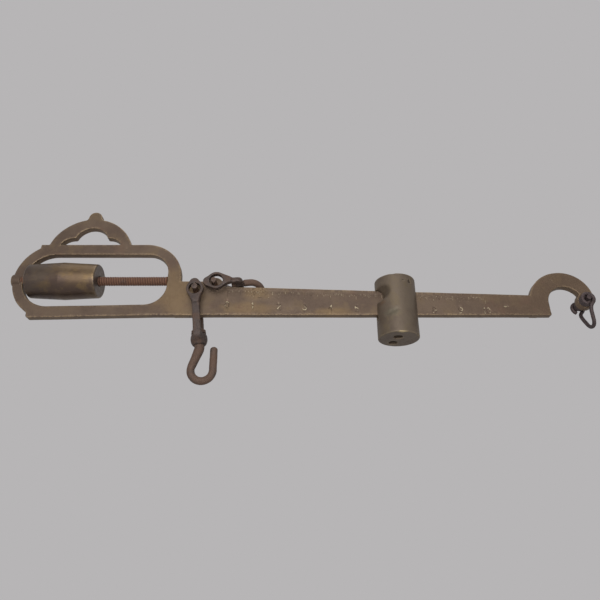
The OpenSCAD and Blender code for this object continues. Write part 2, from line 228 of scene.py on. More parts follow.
def slope(field, points, reach=0.05):
    """Gradient of a field, from its differences to both sides along each axis."""
    steps = reach * np.eye(points.shape[-1])
    return np.stack([(field(points + s) - field(points - s)) / (2 * reach) for s in steps], -1)


def settled(points, field, level=0.0, longest=0.4, rounds=4):
    """Points moved on to a level of a field: each round steps down the gradient by the field's
    difference from the level over the gradient's length."""
    for _ in range(rounds):
        rise = slope(field, points)
        move = (field(points) - level)[:, None] * rise / np.maximum((rise ** 2).sum(-1), 0.1)[:, None]
        length = np.maximum(np.linalg.norm(move, axis=-1, keepdims=True), 1e-9)
        points = points - move * np.minimum(1, longest / length)
    return points


def net(field, low, high, step):
    """The cells of a grid that a field's zero level crosses, in two or three dimensions. Each gets
    one point, the mean of the crossings on its edges. Also given: the number of each cell's point,
    and for each axis which grid edges are crossed and which of them start inside."""
    low = np.asarray(low, float)
    counts = np.ceil((np.asarray(high) - low) / step).astype(int) + 1
    grid = np.stack(np.meshgrid(*[low[k] + step * np.arange(n) for k, n in enumerate(counts)],
                                indexing="ij"), -1)
    value = field(grid)
    size = len(counts)
    total, hits = np.zeros((*(counts - 1), size)), np.zeros(counts - 1)
    edges = []
    for axis in range(size):
        lower = tuple(slice(None, -1) if k == axis else slice(None) for k in range(size))
        upper = tuple(slice(1, None) if k == axis else slice(None) for k in range(size))
        a, b = value[lower], value[upper]
        cross = (a < 0) != (b < 0)
        point = grid[lower].copy()
        point[..., axis] += step * np.where(cross, a / np.where(cross, a - b, 1), 0)
        others = [k for k in range(size) if k != axis]
        for shift in np.ndindex(*(2,) * len(others)):
            window = [slice(None)] * size
            for k, s in zip(others, shift):
                window[k] = slice(s, s + counts[k] - 1)
            window = tuple(window)
            total += point[window] * cross[window][..., None]
            hits += cross[window]
        edges.append((cross, a < 0))
    used = hits > 0
    number = np.full(hits.shape, -1)
    number[used] = np.arange(used.sum())
    return total[used] / hits[used][:, None], number, edges


def skin_of(field, low, high, step):
    """Closed skin of the space where a field is negative: each crossed grid edge gets the square of
    the four cells round it, wound so that it faces out, and the points settle on the zero level."""
    points, number, edges = net(field, low, high, step)
    faces = []
    for axis, (cross, inside) in enumerate(edges):
        u, v = [k for k in range(3) if k != axis]
        inner = [slice(None)] * 3
        inner[u] = inner[v] = slice(1, -1)
        at = np.argwhere(cross[tuple(inner)])
        at[:, [u, v]] += 1
        ring = []
        for du, dv in ((-1, -1), (0, -1), (0, 0), (-1, 0)):
            cell = at.copy()
            cell[:, u] += du
            cell[:, v] += dv
            ring.append(number[tuple(cell.T)])
        ring = np.stack(ring, 1)
        turned = inside[tuple(at.T)] == (axis == 1)
        ring[turned] = ring[turned][:, ::-1]
        faces.append(ring)
    return settled(points, field, longest=step / 2), np.concatenate(faces)


def bend_marks(field, points, reach=0.7):
    """How sharply a field's skin bends at its points: the sum of the field's second differences,
    split into outward edges and inward hollows, each from 0 to 1."""
    around = sum(field(points + s) + field(points - s) for s in reach * np.eye(3))
    bend = (around - 6 * field(points)) / reach ** 2
    return {"edge": smoothstep(bend, 0.35, 1.5), "hollow": smoothstep(-bend, 0.1, 0.8)}


# Surfaces on grids

def grid_faces(rows, columns, wrap_rows=False, wrap_columns=True):
    """Squares of a grid of points, numbered row by row."""
    last_row = rows if wrap_rows else rows - 1
    last_column = columns if wrap_columns else columns - 1
    r, c = np.meshgrid(np.arange(last_row), np.arange(last_column), indexing="ij")
    r2, c2 = (r + 1) % rows, (c + 1) % columns
    return np.stack([r * columns + c, r2 * columns + c, r2 * columns + c2, r * columns + c2],
                    -1).reshape(-1, 4)


def lathe(profile, columns, ring=False, rough=None):
    """Surface of revolution about Z: each (radius, height) of the profile carried round a circle.
    A ring's profile closes on itself. rough gives how far each point moves out from the axis."""
    angle = 2 * math.pi * np.arange(columns) / columns
    radius, height = np.asarray(profile, float).T
    out = np.stack([np.cos(angle), np.sin(angle), 0 * angle], -1)
    points = radius[:, None, None] * out + height[:, None, None] * np.array([0, 0, 1])
    if rough is not None:
        points = points + (rough(points) * np.minimum(radius[:, None], 1))[..., None] * out
    return points.reshape(-1, 3), grid_faces(len(radius), columns, wrap_rows=ring)


def eased(corner_points, radius, steps=4, closed=False):
    """A line through given corners with each corner rounded: the corner becomes a quadratic curve
    that starts and ends `radius` before and after it, or half way to the next one if that is near."""
    points = np.asarray(corner_points, float)
    before, after = np.roll(points, 1, 0), np.roll(points, -1, 0)
    reach_in = np.minimum(radius, np.linalg.norm(before - points, axis=1) * 0.49)[:, None]
    reach_out = np.minimum(radius, np.linalg.norm(after - points, axis=1) * 0.49)[:, None]
    start = points + reach_in * (before - points) / np.linalg.norm(before - points, axis=1)[:, None]
    end = points + reach_out * (after - points) / np.linalg.norm(after - points, axis=1)[:, None]
    t = np.linspace(0, 1, steps + 1)[None, :, None]
    curve = (1 - t) ** 2 * start[:, None] + 2 * t * (1 - t) * points[:, None] + t ** 2 * end[:, None]
    if closed:
        return curve.reshape(-1, 2)
    return np.concatenate([points[:1], curve[1:-1].reshape(-1, 2), points[-1:]])


def straight(start, end, spacing=0.8):
    """Points along a straight line and the way it runs, in the plane."""
    start, end = np.asarray(start, float), np.asarray(end, float)
    count = max(2, int(np.linalg.norm(end - start) / spacing))
    t = np.linspace(0, 1, count)[:, None]
    way = (end - start) / np.linalg.norm(end - start)
    return start + t * (end - start), np.repeat(way[None], count, 0)


def bend(centre, radius, start, end, spacing=0.8):
    """Points along an arc between two angles and the way it runs, in the plane."""
    count = max(3, int(abs(end - start) * radius / spacing))
    angle = np.linspace(start, end, count)
    out = np.stack([np.cos(angle), np.sin(angle)], -1)
    way = np.stack([-np.sin(angle), np.cos(angle)], -1) * np.sign(end - start)
    return np.asarray(centre) + radius * out, way


def joined(*lengths):
    """Lengths of a route end to end, with how far along it each point is."""
    points = np.concatenate([p for p, _ in lengths])
    ways = np.concatenate([w for _, w in lengths])
    far = np.concatenate([[0], np.cumsum(np.linalg.norm(np.diff(points, axis=0), axis=1))])
    keep = np.concatenate([[True], np.diff(far) > 1e-6])
    return points[keep], ways[keep], far[keep]


def round_end(points, ways, radii, at_start=False, steps=6, bulge=1.0):
    """A route and its radii with a dome added at one end: radius r cos(a), set out by r sin(a)."""
    angle = np.linspace(0, math.pi / 2, steps + 1)[1:]
    index, side = (0, -1) if at_start else (-1, 1)
    radius = radii[index]
    extra = points[index] + side * bulge * radius * np.sin(angle)[:, None] * ways[index]
    extra_ways = np.repeat(ways[index][None], steps, 0)
    extra_radii = radius * np.cos(angle)
    if at_start:
        return (np.concatenate([extra[::-1], points]), np.concatenate([extra_ways, ways]),
                np.concatenate([extra_radii[::-1], radii]))
    return (np.concatenate([points, extra]), np.concatenate([ways, extra_ways]),
            np.concatenate([radii, extra_radii]))


def carried_sides(ways):
    """For a route in space, a direction across it at each point, carried along without twist: each
    is the last one less its part along the new way."""
    side = np.cross(ways[0], [0.3, 0.2, 0.9])
    sides = []
    for way in ways:
        side = side - way * side.dot(way)
        side = side / np.linalg.norm(side)
        sides.append(side)
    return np.array(sides)


def tube(points, ways, radii, columns=28, sides=None, rough=None):
    """A round section carried along a route. A plane route, given as (x, z), lies in the XZ plane.
    rough gives how far each point moves out from the route."""
    if points.shape[1] == 2:
        points, ways = (np.stack([a[:, 0], 0 * a[:, 0], a[:, 1]], -1) for a in (points, ways))
        sides = np.repeat([[0.0, 1.0, 0.0]], len(points), 0)
    across = np.cross(sides, ways)
    angle = 2 * math.pi * np.arange(columns) / columns
    out = (np.cos(angle)[None, :, None] * across[:, None] + np.sin(angle)[None, :, None] * sides[:, None])
    skin = points[:, None] + radii[:, None, None] * out
    if rough is not None:
        skin = skin + (rough(skin) * np.minimum(radii[:, None], 1))[..., None] * out
    return skin.reshape(-1, 3), grid_faces(len(points), columns)


# Node trees

def paint(red, green, blue):
    """A colour as a screen shows it, 0 to 255, as the linear value that a shader takes."""
    share = [c / 255 for c in (red, green, blue)]
    return [c / 12.92 if c <= 0.04045 else ((c + 0.055) / 1.055) ** 2.4 for c in share] + [1.0]


class Nodes:
    """Short ways to add nodes to one tree. Each gives the socket that the new node puts out."""

    def __init__(self, tree):
        self.tree = tree

    def add(self, kind, inputs=(), out=0, **settings):
        node = self.tree.nodes.new(kind)
        for key, value in settings.items():
            setattr(node, key, value)
        for key, value in dict(inputs).items():
            if isinstance(value, bpy.types.NodeSocket):
                self.tree.links.new(value, node.inputs[key])
            else:
                node.inputs[key].default_value = value
        return node.outputs[out] if len(node.outputs) else node

    def place(self):
        """Where the surface is, on the piece itself."""
        return self.add("ShaderNodeTexCoord", out="Object")

    def mark(self, name):
        """A value that the mesh carries at each point."""
        return self.add("ShaderNodeAttribute", out="Fac", attribute_name=name)

    def math(self, kind, a, b=0.0, clamp=False):
        return self.add("ShaderNodeMath", {0: a, 1: b}, operation=kind, use_clamp=clamp)

    def mix(self, share, a, b, blend_type="MIX"):
        return self.add("ShaderNodeMix", {0: share, 6: a, 7: b}, out=2, data_type="RGBA",
                        blend_type=blend_type, clamp_factor=True)

    def levels(self, value, low, high, to_low=0.0, to_high=1.0):
        """Value brought from low..high to to_low..to_high, smoothly and no further."""
        return self.add("ShaderNodeMapRange", {0: value, 1: low, 2: high, 3: to_low, 4: to_high},
                        interpolation_type="SMOOTHSTEP")

    def shifted(self, place, shift=(0, 0, 0), stretch=(1, 1, 1)):
        return self.add("ShaderNodeMapping", {0: place, "Location": shift, "Scale": stretch})

    def clouds(self, place, size, detail=3.0, roughness=0.5, shift=0.0, stretch=(1, 1, 1)):
        """Noise whose bumps are about size mm across, from 0 to 1 with its middle at a half."""
        place = self.shifted(place, (shift, shift * 0.7, shift * 1.3), stretch)
        scale = self.math("DIVIDE", 1 / MM, size)
        return self.add("ShaderNodeTexNoise", {"Vector": place, "Scale": scale, "Detail": detail,
                                               "Roughness": roughness})

    def cells(self, place, size, out="Distance"):
        """Distance to the nearest of scattered points about size mm apart, in units of size."""
        scale = self.math("DIVIDE", 1 / MM, size)
        return self.add("ShaderNodeTexVoronoi", {"Vector": place, "Scale": scale}, out=out)

    def spot(self, place, centre, reach, fray=0.35):
        """1 about a place of the piece, in mm, fading out at reach with a frayed edge."""
        centred = self.add("ShaderNodeVectorMath", {0: place, 1: [c * MM for c in centre]},
                           operation="SUBTRACT")
        scaled = self.add("ShaderNodeVectorMath", {0: centred, 1: [1 / (r * MM) for r in reach]},
                          operation="MULTIPLY")
        far = self.add("ShaderNodeVectorMath", {0: scaled}, out="Value", operation="LENGTH")
        ragged = self.math("SUBTRACT", self.clouds(place, max(reach) * 0.4, 5.0, 0.6), 0.5)
        return self.levels(self.math("ADD", far, self.math("MULTIPLY", ragged, 4 * fray)), 1.2, 0.35)


SOCKETS = {float: "NodeSocketFloat", list: "NodeSocketColor"}


def new_group(name, given, made):
    """An empty shader group with named inputs and outputs. Gives its nodes and its input sockets."""
    tree = bpy.data.node_groups.new(name, "ShaderNodeTree")
    for key, value in given.items():
        socket = tree.interface.new_socket(key, in_out="INPUT", socket_type=SOCKETS[type(value)])
        socket.default_value = value
    for key in made:
        kind = "NodeSocketColor" if key == "Color" else "NodeSocketFloat"
        tree.interface.new_socket(key, in_out="OUTPUT", socket_type=kind)
    sockets = tree.nodes.new("NodeGroupInput").outputs
    return Nodes(tree), {key: sockets[key] for key in given}


def finish_group(nodes, **made):
    """Links what a group puts out."""
    out = nodes.tree.nodes.new("NodeGroupOutput")
    for key, value in made.items():
        nodes.tree.links.new(value, out.inputs[key])
    return nodes.tree


def brass_skin():
    """Old brass: a ground colour under darker and warmer clouds, fine grain, dark specks, dirt in the
    hollows, edges rubbed bright, and thin scratches. On the turned weight the edge mark also holds a
    painted highlight round its end rims."""
    nodes, given = new_group("brass_skin", {
        "Ground": paint(112, 98, 78), "Dark": paint(86, 74, 62), "Warm": paint(122, 102, 72),
        "Bright": paint(160, 140, 104), "Blotch": 34.0, "Rub": 0.6, "Specks": 0.5},
        ("Color", "Roughness", "Height"))
    place = nodes.place()
    cloud = nodes.clouds(place, given["Blotch"], 4.0, 0.55)
    drift = nodes.clouds(place, nodes.math("MULTIPLY", given["Blotch"], 0.42), 5.0, 0.6, 0.31)
    mottle = nodes.clouds(place, 2.6, 4.0, 0.65, 0.17)
    grain = nodes.clouds(place, 0.55, 3.0, 0.6, 0.07)
    scratch = nodes.clouds(place, 1.0, 2.0, 0.5, 0.5, (0.09, 1.0, 1.6))
    scratch = nodes.levels(scratch, 0.66, 0.76)
    dots = nodes.math("MULTIPLY", nodes.levels(nodes.cells(place, 1.9), 0.24, 0.12),
                      nodes.levels(nodes.clouds(place, 7.0, 2.0, 0.5, 0.9), 0.5, 0.62))
    dots = nodes.math("MULTIPLY", dots, given["Specks"])
    colour = nodes.mix(nodes.levels(cloud, 0.4, 0.62), given["Dark"], given["Ground"])
    colour = nodes.mix(nodes.levels(drift, 0.5, 0.68, 0.0, 0.85), colour, given["Warm"])
    colour = nodes.mix(nodes.levels(mottle, 0.36, 0.66, 0.3, 0.0), colour, given["Dark"])
    colour = nodes.mix(nodes.levels(grain, 0.3, 0.7, 0.2, 0.0), colour, given["Dark"])
    # Edges turned bright by the edge mark; on the turned weight's end rims this is also a painted
    # highlight.
    rub = nodes.math("MULTIPLY", nodes.mark("edge"), nodes.levels(mottle, 0.34, 0.56))
    rub = nodes.math("MULTIPLY", rub, given["Rub"])
    rub = nodes.math("ADD", rub, nodes.math("MULTIPLY", scratch, 0.16), clamp=True)
    colour = nodes.mix(rub, colour, given["Bright"])
    dirt = nodes.math("MULTIPLY", nodes.mark("hollow"), 0.75)
    dirt = nodes.math("MAXIMUM", dirt, nodes.math("MULTIPLY", dots, 0.8))
    colour = nodes.mix(dirt, colour, nodes.mix(0.7, given["Dark"], paint(38, 30, 26)))
    rough = nodes.levels(mottle, 0.3, 0.7, 0.44, 0.62)
    rough = nodes.math("SUBTRACT", rough, nodes.math("MULTIPLY", rub, 0.14))
    rough = nodes.math("ADD", rough, nodes.math("MULTIPLY", dirt, 0.25))
    height = nodes.math("ADD", nodes.math("MULTIPLY", mottle, 0.8), nodes.math("MULTIPLY", grain, 0.35))
    height = nodes.math("SUBTRACT", height, nodes.math("MULTIPLY", dots, 0.9))
    height = nodes.math("SUBTRACT", height, nodes.math("MULTIPLY", scratch, 0.2))
    return finish_group(nodes, Color=colour, Roughness=rough, Height=height)


def iron_skin():
    """Old iron: a dark hammered ground, brown rust in clouds and grains, pitting, worn edges."""
    nodes, given = new_group("iron_skin", {
        "Ground": paint(84, 74, 70), "Rust": paint(112, 78, 56), "Worn": paint(120, 106, 96),
        "Dust": paint(58, 48, 45), "Blotch": 12.0, "Rusting": 0.5}, ("Color", "Roughness", "Height"))
    place = nodes.place()
    cloud = nodes.clouds(place, given["Blotch"], 5.0, 0.6)
    scale = nodes.clouds(place, 2.2, 4.0, 0.65, 0.23)
    grain = nodes.clouds(place, 0.7, 4.0, 0.65, 0.11)
    pits = nodes.levels(nodes.cells(place, 1.5), 0.3, 0.1)
    pits = nodes.math("MULTIPLY", pits, nodes.levels(scale, 0.46, 0.6))
    threshold = nodes.math("SUBTRACT", 0.78, nodes.math("MULTIPLY", given["Rusting"], 0.5))
    rusted = nodes.math("SUBTRACT", nodes.math("ADD", nodes.math("MULTIPLY", cloud, 0.7),
                                               nodes.math("MULTIPLY", grain, 0.3)), threshold)
    rusted = nodes.levels(rusted, -0.09, 0.1)
    colour = nodes.mix(nodes.levels(scale, 0.36, 0.64), given["Dust"], given["Ground"])
    colour = nodes.mix(rusted, colour, given["Rust"])
    colour = nodes.mix(nodes.levels(grain, 0.36, 0.66, 0.35, 0.0), colour, given["Dust"])
    colour = nodes.mix(nodes.math("MULTIPLY", pits, 0.6), colour, given["Dust"])
    rub = nodes.math("MULTIPLY", nodes.mark("edge"), nodes.levels(scale, 0.4, 0.6, 0.1, 0.55))
    colour = nodes.mix(rub, colour, given["Worn"])
    colour = nodes.mix(nodes.math("MULTIPLY", nodes.mark("hollow"), 0.7), colour, paint(40, 31, 28))
    rough = nodes.math("ADD", nodes.levels(scale, 0.3, 0.7, 0.46, 0.62),
                       nodes.math("MULTIPLY", rusted, 0.22))
    rough = nodes.math("SUBTRACT", rough, nodes.math("MULTIPLY", rub, 0.12))
    height = nodes.math("ADD", nodes.math("MULTIPLY", scale, 0.9), nodes.math("MULTIPLY", grain, 0.5))
    height = nodes.math("SUBTRACT", height, nodes.math("MULTIPLY", pits, 0.6))
    return finish_group(nodes, Color=colour, Roughness=rough, Height=height)


BRASS_SKIN, IRON_SKIN = brass_skin(), iron_skin()


def start_material(name, group, values):
    """A material with a skin group in it. Gives the material, its nodes and the group node."""
    material = bpy.data.materials.new(name)
    material.use_nodes = True
    material.node_tree.nodes.clear()
    nodes = Nodes(material.node_tree)
    node = material.node_tree.nodes.new("ShaderNodeGroup")
    node.node_tree = group
    for key, value in values.items():
        node.inputs[key].default_value = value
    return material, nodes, node.outputs


def finish_material(nodes, colour, roughness, metallic, height, depth):
    """Ends a material: a Bump of that depth in mm feeds the Principled shader's normal."""
    normal = nodes.add("ShaderNodeBump", {"Strength": 1.0, "Distance": depth * MM, "Height": height},
                       out="Normal")
    shader = nodes.add("ShaderNodeBsdfPrincipled", {
        "Base Color": colour, "Roughness": roughness, "Metallic": metallic, "Normal": normal})
    nodes.add("ShaderNodeOutputMaterial", {"Surface": shader})


def casting_material():
    """Dull olive brass of the beam, yellower on the web and by the first numerals, browner towards
    the tip, with grime and whitish polish left in the cut marks."""
    material, nodes, skin = start_material("dull_cast_brass", BRASS_SKIN, {
        "Ground": paint(111, 94, 78), "Dark": paint(94, 78, 66), "Warm": paint(114, 96, 74),
        "Bright": paint(160, 138, 108), "Blotch": 38.0, "Rub": 0.7, "Specks": 0.35})
    place = nodes.place()
    gold = nodes.spot(place, (-38, -4, -8), (26, 30, 34))
    for centre, reach in (((45, -4, -9), (15, 30, 11)), ((36, -4, -27), (30, 30, 8)),
                          ((122, -4, -31), (26, 30, 5))):
        gold = nodes.math("MAXIMUM", gold, nodes.spot(place, centre, reach))
    colour = nodes.mix(nodes.math("MULTIPLY", gold, 0.34), skin["Color"], paint(140, 115, 76))
    brown = nodes.spot(place, (360, 0, -5), (110, 60, 60), 0.2)
    colour = nodes.mix(nodes.math("MULTIPLY", brown, 0.42), colour, paint(104, 84, 64))
    red = nodes.levels(nodes.clouds(place, 17.0, 4.0, 0.6, 0.77), 0.57, 0.7, 0.0, 0.4)
    colour = nodes.mix(red, colour, paint(104, 80, 66))
    pitted = nodes.math("MULTIPLY", nodes.levels(nodes.cells(place, 2.1), 0.3, 0.16),
                        nodes.spot(place, (45, -4, -9), (14, 9, 9)))
    colour = nodes.mix(nodes.math("MULTIPLY", pitted, 0.85), colour, paint(58, 44, 36))
    groove = nodes.mark("groove")
    polish = nodes.levels(nodes.clouds(place, 3.4, 3.0, 0.6, 0.41), 0.5, 0.58)
    polish = nodes.math("MULTIPLY", polish, nodes.levels(groove, 0.2, 0.6))
    colour = nodes.mix(nodes.math("MULTIPLY", groove, 0.42), colour, paint(72, 58, 46))
    colour = nodes.mix(nodes.math("MULTIPLY", polish, 0.85), colour, paint(190, 176, 148))
    height = nodes.math("SUBTRACT", skin["Height"], pitted)
    finish_material(nodes, colour, skin["Roughness"], 0.62, height, 0.16)
    return material


def weight_material():
    """Turned brass of the counterbalance: smoother, yellower towards the screw end and darker at
    the other, with the fine rings that a lathe leaves."""
    material, nodes, skin = start_material("turned_brass", BRASS_SKIN, {
        "Ground": paint(112, 96, 78), "Dark": paint(90, 75, 66), "Warm": paint(120, 100, 72),
        "Bright": paint(176, 154, 120), "Blotch": 26.0, "Rub": 0.7, "Specks": 0.3})
    place = nodes.place()
    dark = nodes.spot(place, (-189, -10, 2), (26, 26, 26))
    colour = nodes.mix(nodes.math("MULTIPLY", dark, 0.5), skin["Color"], paint(80, 72, 68))
    gold = nodes.spot(place, (-140, -12, 14), (24, 28, 22))
    colour = nodes.mix(nodes.math("MULTIPLY", gold, 0.3), colour, paint(134, 110, 72))
    faces = nodes.mark("end_face")
    colour = nodes.mix(nodes.math("MULTIPLY", faces, 0.7), colour, paint(96, 88, 82))
    rings = nodes.clouds(place, 1.0, 2.0, 0.5, 0.2, (2.2, 0.02, 0.02))
    height = nodes.math("ADD", nodes.math("MULTIPLY", skin["Height"], 0.7),
                        nodes.math("MULTIPLY", rings, 0.5))
    rough = nodes.math("SUBTRACT", skin["Roughness"], 0.12)
    finish_material(nodes, colour, rough, 0.8, height, 0.07)
    return material


def poise_material():
    """Dull brass of the poise, with a rusty stain by the notch, a green smudge below it and a bright spot
    on its front bottom rim that is wear and a painted highlight.
    """
    material, nodes, skin = start_material("dull_poise_brass", BRASS_SKIN, {
        "Ground": paint(110, 97, 82), "Dark": paint(95, 82, 70), "Warm": paint(112, 98, 76),
        "Bright": paint(170, 152, 122), "Blotch": 30.0, "Rub": 0.5, "Specks": 0.4})
    place = nodes.place()
    rust = nodes.spot(place, (171, -15, -25), (4, 8, 3.2))
    colour = nodes.mix(nodes.math("MULTIPLY", rust, 0.6), skin["Color"], paint(104, 80, 60))
    green = nodes.spot(place, (180, -18.6, -37.5), (9, 9, 5))
    colour = nodes.mix(nodes.math("MULTIPLY", green, 0.35), colour, paint(92, 92, 74))
    inside = nodes.spot(place, (186.5, -5, -52), (5.4, 5.4, 11), 0.15)
    colour = nodes.mix(nodes.math("MULTIPLY", inside, 0.6), colour, paint(122, 82, 62))
    # A bright spot on the front bottom rim: rubbed wear and a painted highlight.
    worn = nodes.spot(place, (188.3, -20.4, -59.3), (5, 3, 0.7), 0.3)
    colour = nodes.mix(nodes.math("MULTIPLY", worn, 0.75), colour, paint(206, 186, 140))
    finish_material(nodes, colour, skin["Roughness"], 0.55, skin["Height"], 0.14)
    return material


def iron_material(name, ground, rust, worn, dust, rusting, metallic=0.4, depth=0.22):
    """Iron in one of its states, from its four colours and how far it has rusted."""
    material, nodes, skin = start_material(name, IRON_SKIN, {
        "Ground": paint(*ground), "Rust": paint(*rust), "Worn": paint(*worn), "Dust": paint(*dust),
        "Rusting": rusting})
    finish_material(nodes, skin["Color"], skin["Roughness"], metallic, skin["Height"], depth)
    return material


CAST_BRASS = casting_material()
TURNED_BRASS = weight_material()
POISE_BRASS = poise_material()
FORGED_IRON = iron_material("forged_iron", (86, 73, 67), (98, 75, 61), (120, 103, 92),
                            (62, 52, 48), 0.45)
RUSTY_IRON = iron_material("rusty_iron", (90, 77, 70), (104, 81, 67), (124, 106, 95),
                           (64, 54, 49), 0.7, 0.3)
PIN_IRON = iron_material("pin_iron", (98, 84, 76), (120, 88, 64), (136, 114, 96),
                         (70, 56, 50), 0.6, 0.4, 0.15)
LINK_IRON = iron_material("link_iron", (86, 72, 70), (98, 72, 62), (126, 110, 106),
                          (60, 50, 50), 0.35)
SCREW_RUST = iron_material("screw_rust", (100, 76, 63), (124, 84, 62), (160, 124, 96),
                           (62, 45, 40), 0.8, 0.2, 0.2)
DULL_LEAD = iron_material("dull_lead", (92, 84, 80), (108, 74, 56), (120, 110, 104),
                          (64, 54, 50), 0.55, 0.3)


# Pieces

def make_piece(name, body, material, points, faces, marks=(), stands_for=()):
    """One visible piece: points in mm in the row's frame, faces of three or four corners, and a
    value for each point under each mark's name. Double points are merged, pinholes closed and faces
    turned out."""
    faces = faces if isinstance(faces, list) else [faces]
    mesh = bpy.data.meshes.new(name)
    mesh.vertices.add(len(points))
    mesh.vertices.foreach_set("co", (points * MM).astype(np.float32).ravel())
    sizes = np.concatenate([np.full(len(f), f.shape[1]) for f in faces])
    mesh.loops.add(int(sizes.sum()))
    mesh.loops.foreach_set("vertex_index", np.concatenate([f.ravel() for f in faces]).astype(np.int32))
    mesh.polygons.add(len(sizes))
    mesh.polygons.foreach_set("loop_start", (np.cumsum(sizes) - sizes).astype(np.int32))
    mesh.update(calc_edges=True)
    for key, values in dict(marks).items():
        layer = mesh.attributes.new(key, "FLOAT", "POINT")
        layer.data.foreach_set("value", values.astype(np.float32))
    work = bmesh.new()
    work.from_mesh(mesh)
    bmesh.ops.remove_doubles(work, verts=work.verts, dist=2e-6)
    bmesh.ops.dissolve_degenerate(work, edges=work.edges, dist=1e-7)
    bmesh.ops.holes_fill(work, edges=[e for e in work.edges if e.is_boundary], sides=12)
    bmesh.ops.recalc_face_normals(work, faces=work.faces)
    work.to_mesh(mesh)
    work.free()
    mesh.polygons.foreach_set("use_smooth", np.ones(len(mesh.polygons), bool))
    mesh.materials.append(material)
    piece = bpy.data.objects.new(name, mesh)
    scene.collection.objects.link(piece)
    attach(piece, body)
    if stands_for:
        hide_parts(*stands_for)
    return piece


def bar_top(x):
    """Height of the bar's top edge at a distance along it."""
    return -BAR_TOP_DROP - BAR_FALL * x


def plate_field(x, z):
    """Distance outside the casting's flat plate, seen from the front, without the screw's boss."""
    sunk = BOTTOM - LOOP_SINK * np.clip((SINK_START - x) / (SINK_START - LOOP_FLAT), 0, 1)
    left = np.maximum(circle(x, z, LEFT_ARC, LEFT_ARC_R), x - LOOP_FLAT - 6)
    flat_r = np.where(z < 0, 3.0, 1.1)
    side = LOOP_FLAT - x
    block = np.maximum(np.maximum(rounded_corner(side, z - LOOP_TOP, flat_r),
                                  rounded_corner(side, sunk - z, flat_r)), x - RIGHT_ARC[0] - 1)
    shoulder = np.maximum(circle(x, z, RIGHT_ARC, RIGHT_ARC_R), RIGHT_ARC[0] - 4 - x)
    shoulder = np.maximum(shoulder, sunk - z)
    foot = np.maximum(np.maximum(sunk - z, z - 2), np.maximum(RIGHT_ARC[0] - 4 - x, x + 20))
    metal = np.minimum(np.minimum(soft_min(left, block, 1.5), shoulder), foot)
    fall = math.hypot(-FULCRUM_BOSS_START, WEB_TOP + BAR_TOP_DROP)
    ramp = ((x - FULCRUM_BOSS_START) * (WEB_TOP + BAR_TOP_DROP)
            - (z - WEB_TOP) * FULCRUM_BOSS_START) / fall
    web = np.maximum(soft_max(z - WEB_TOP, ramp, 1.5), np.maximum(-60 - x, BOTTOM + 3 - z))
    metal = soft_min(metal, web, 1.6)
    bar = np.maximum(np.maximum(BOTTOM - z, (z - bar_top(x)) / math.hypot(1, BAR_FALL)),
                     np.maximum(-40 - x, x - NECK_X - 5))
    metal = soft_min(metal, bar, 1.2)
    metal = soft_min(metal, circle(x, z, (0, 0), FULCRUM_BOSS_R), 2.0)
    knob = soft_min(circle(x, z, (ARCH_MID, KNOB_Z), KNOB_R),
                    knob_side(np.abs(x - ARCH_MID), z), 1.0)
    arch = soft_min(circle(x, z, (ARCH_MID, ARCH_Z), ARCH_R), knob, 1.6)
    arch = np.maximum(arch, LOOP_TOP - 4 - z)
    metal = soft_min(metal, arch, 1.2)
    return soft_min(metal, gooseneck_field(x, z), 1.2)


def knob_side(off, z):
    """Distance outside the knob's sloping sides, which narrow from its foot to its round top."""
    lean = (KNOB_FOOT[0] - KNOB_R) / (KNOB_Z - KNOB_FOOT[1])
    side = (off - KNOB_FOOT[0] + lean * (z - KNOB_FOOT[1])) / math.hypot(1, lean)
    return np.maximum(side, np.maximum(KNOB_FOOT[1] - 3 - z, z - KNOB_Z))


def gooseneck_field(x, z):
    """Distance outside the gooseneck: two outer arcs less the throat, the toe and the tip boss."""
    rear = np.maximum(circle(x, z, OUTER_A, OUTER_A_R), np.maximum(NECK_X - 3 - x, x - CROWN_X - 2.5))
    rear = np.maximum(rear, BOTTOM - z)
    fore = np.maximum(circle(x, z, OUTER_B, OUTER_B_R), np.maximum(CROWN_X - 2.5 - x, TIP_BOSS[1] - z))
    neck = soft_max(np.minimum(rear, fore), -circle(x, z, THROAT, THROAT_R), 0.6)
    neck = np.maximum(neck, -np.maximum(TOE_X + 0.1 - x, z - THROAT[1]))
    flare = np.maximum((TOE_START - z) / TOE_HEIGHT, 0)
    toe = rounded_corner(BOTTOM - z, x - TOE_X - TOE_FLARE * flare ** 2, 1.7)
    toe = np.maximum(toe, np.maximum(z - THROAT[1] - 0.2, NECK_X - 2 - x))
    return soft_min(soft_min(neck, toe, 0.4), circle(x, z, TIP_BOSS, TIP_BOSS_R), 1.6)


def loop_opening(x, z):
    """Distance outside the loop's opening: round at the left, with two round corners at the right."""
    share = (HOLE_RIGHT - x) / (HOLE_RIGHT - HOLE_LEFT)
    floor_z = CORNER_LOW - CORNER_R + share * (AXIS_Z - HOLE_R - CORNER_LOW + CORNER_R)
    middle = np.maximum(z - AXIS_Z - HOLE_R, floor_z - z)
    left = circle(x, z, (HOLE_LEFT, AXIS_Z), HOLE_R)
    right = np.hypot(x - HOLE_RIGHT, z - np.clip(z, CORNER_LOW, CORNER_HIGH)) - CORNER_R
    return np.where(x < HOLE_LEFT, left, np.where(x > HOLE_RIGHT, right, middle))


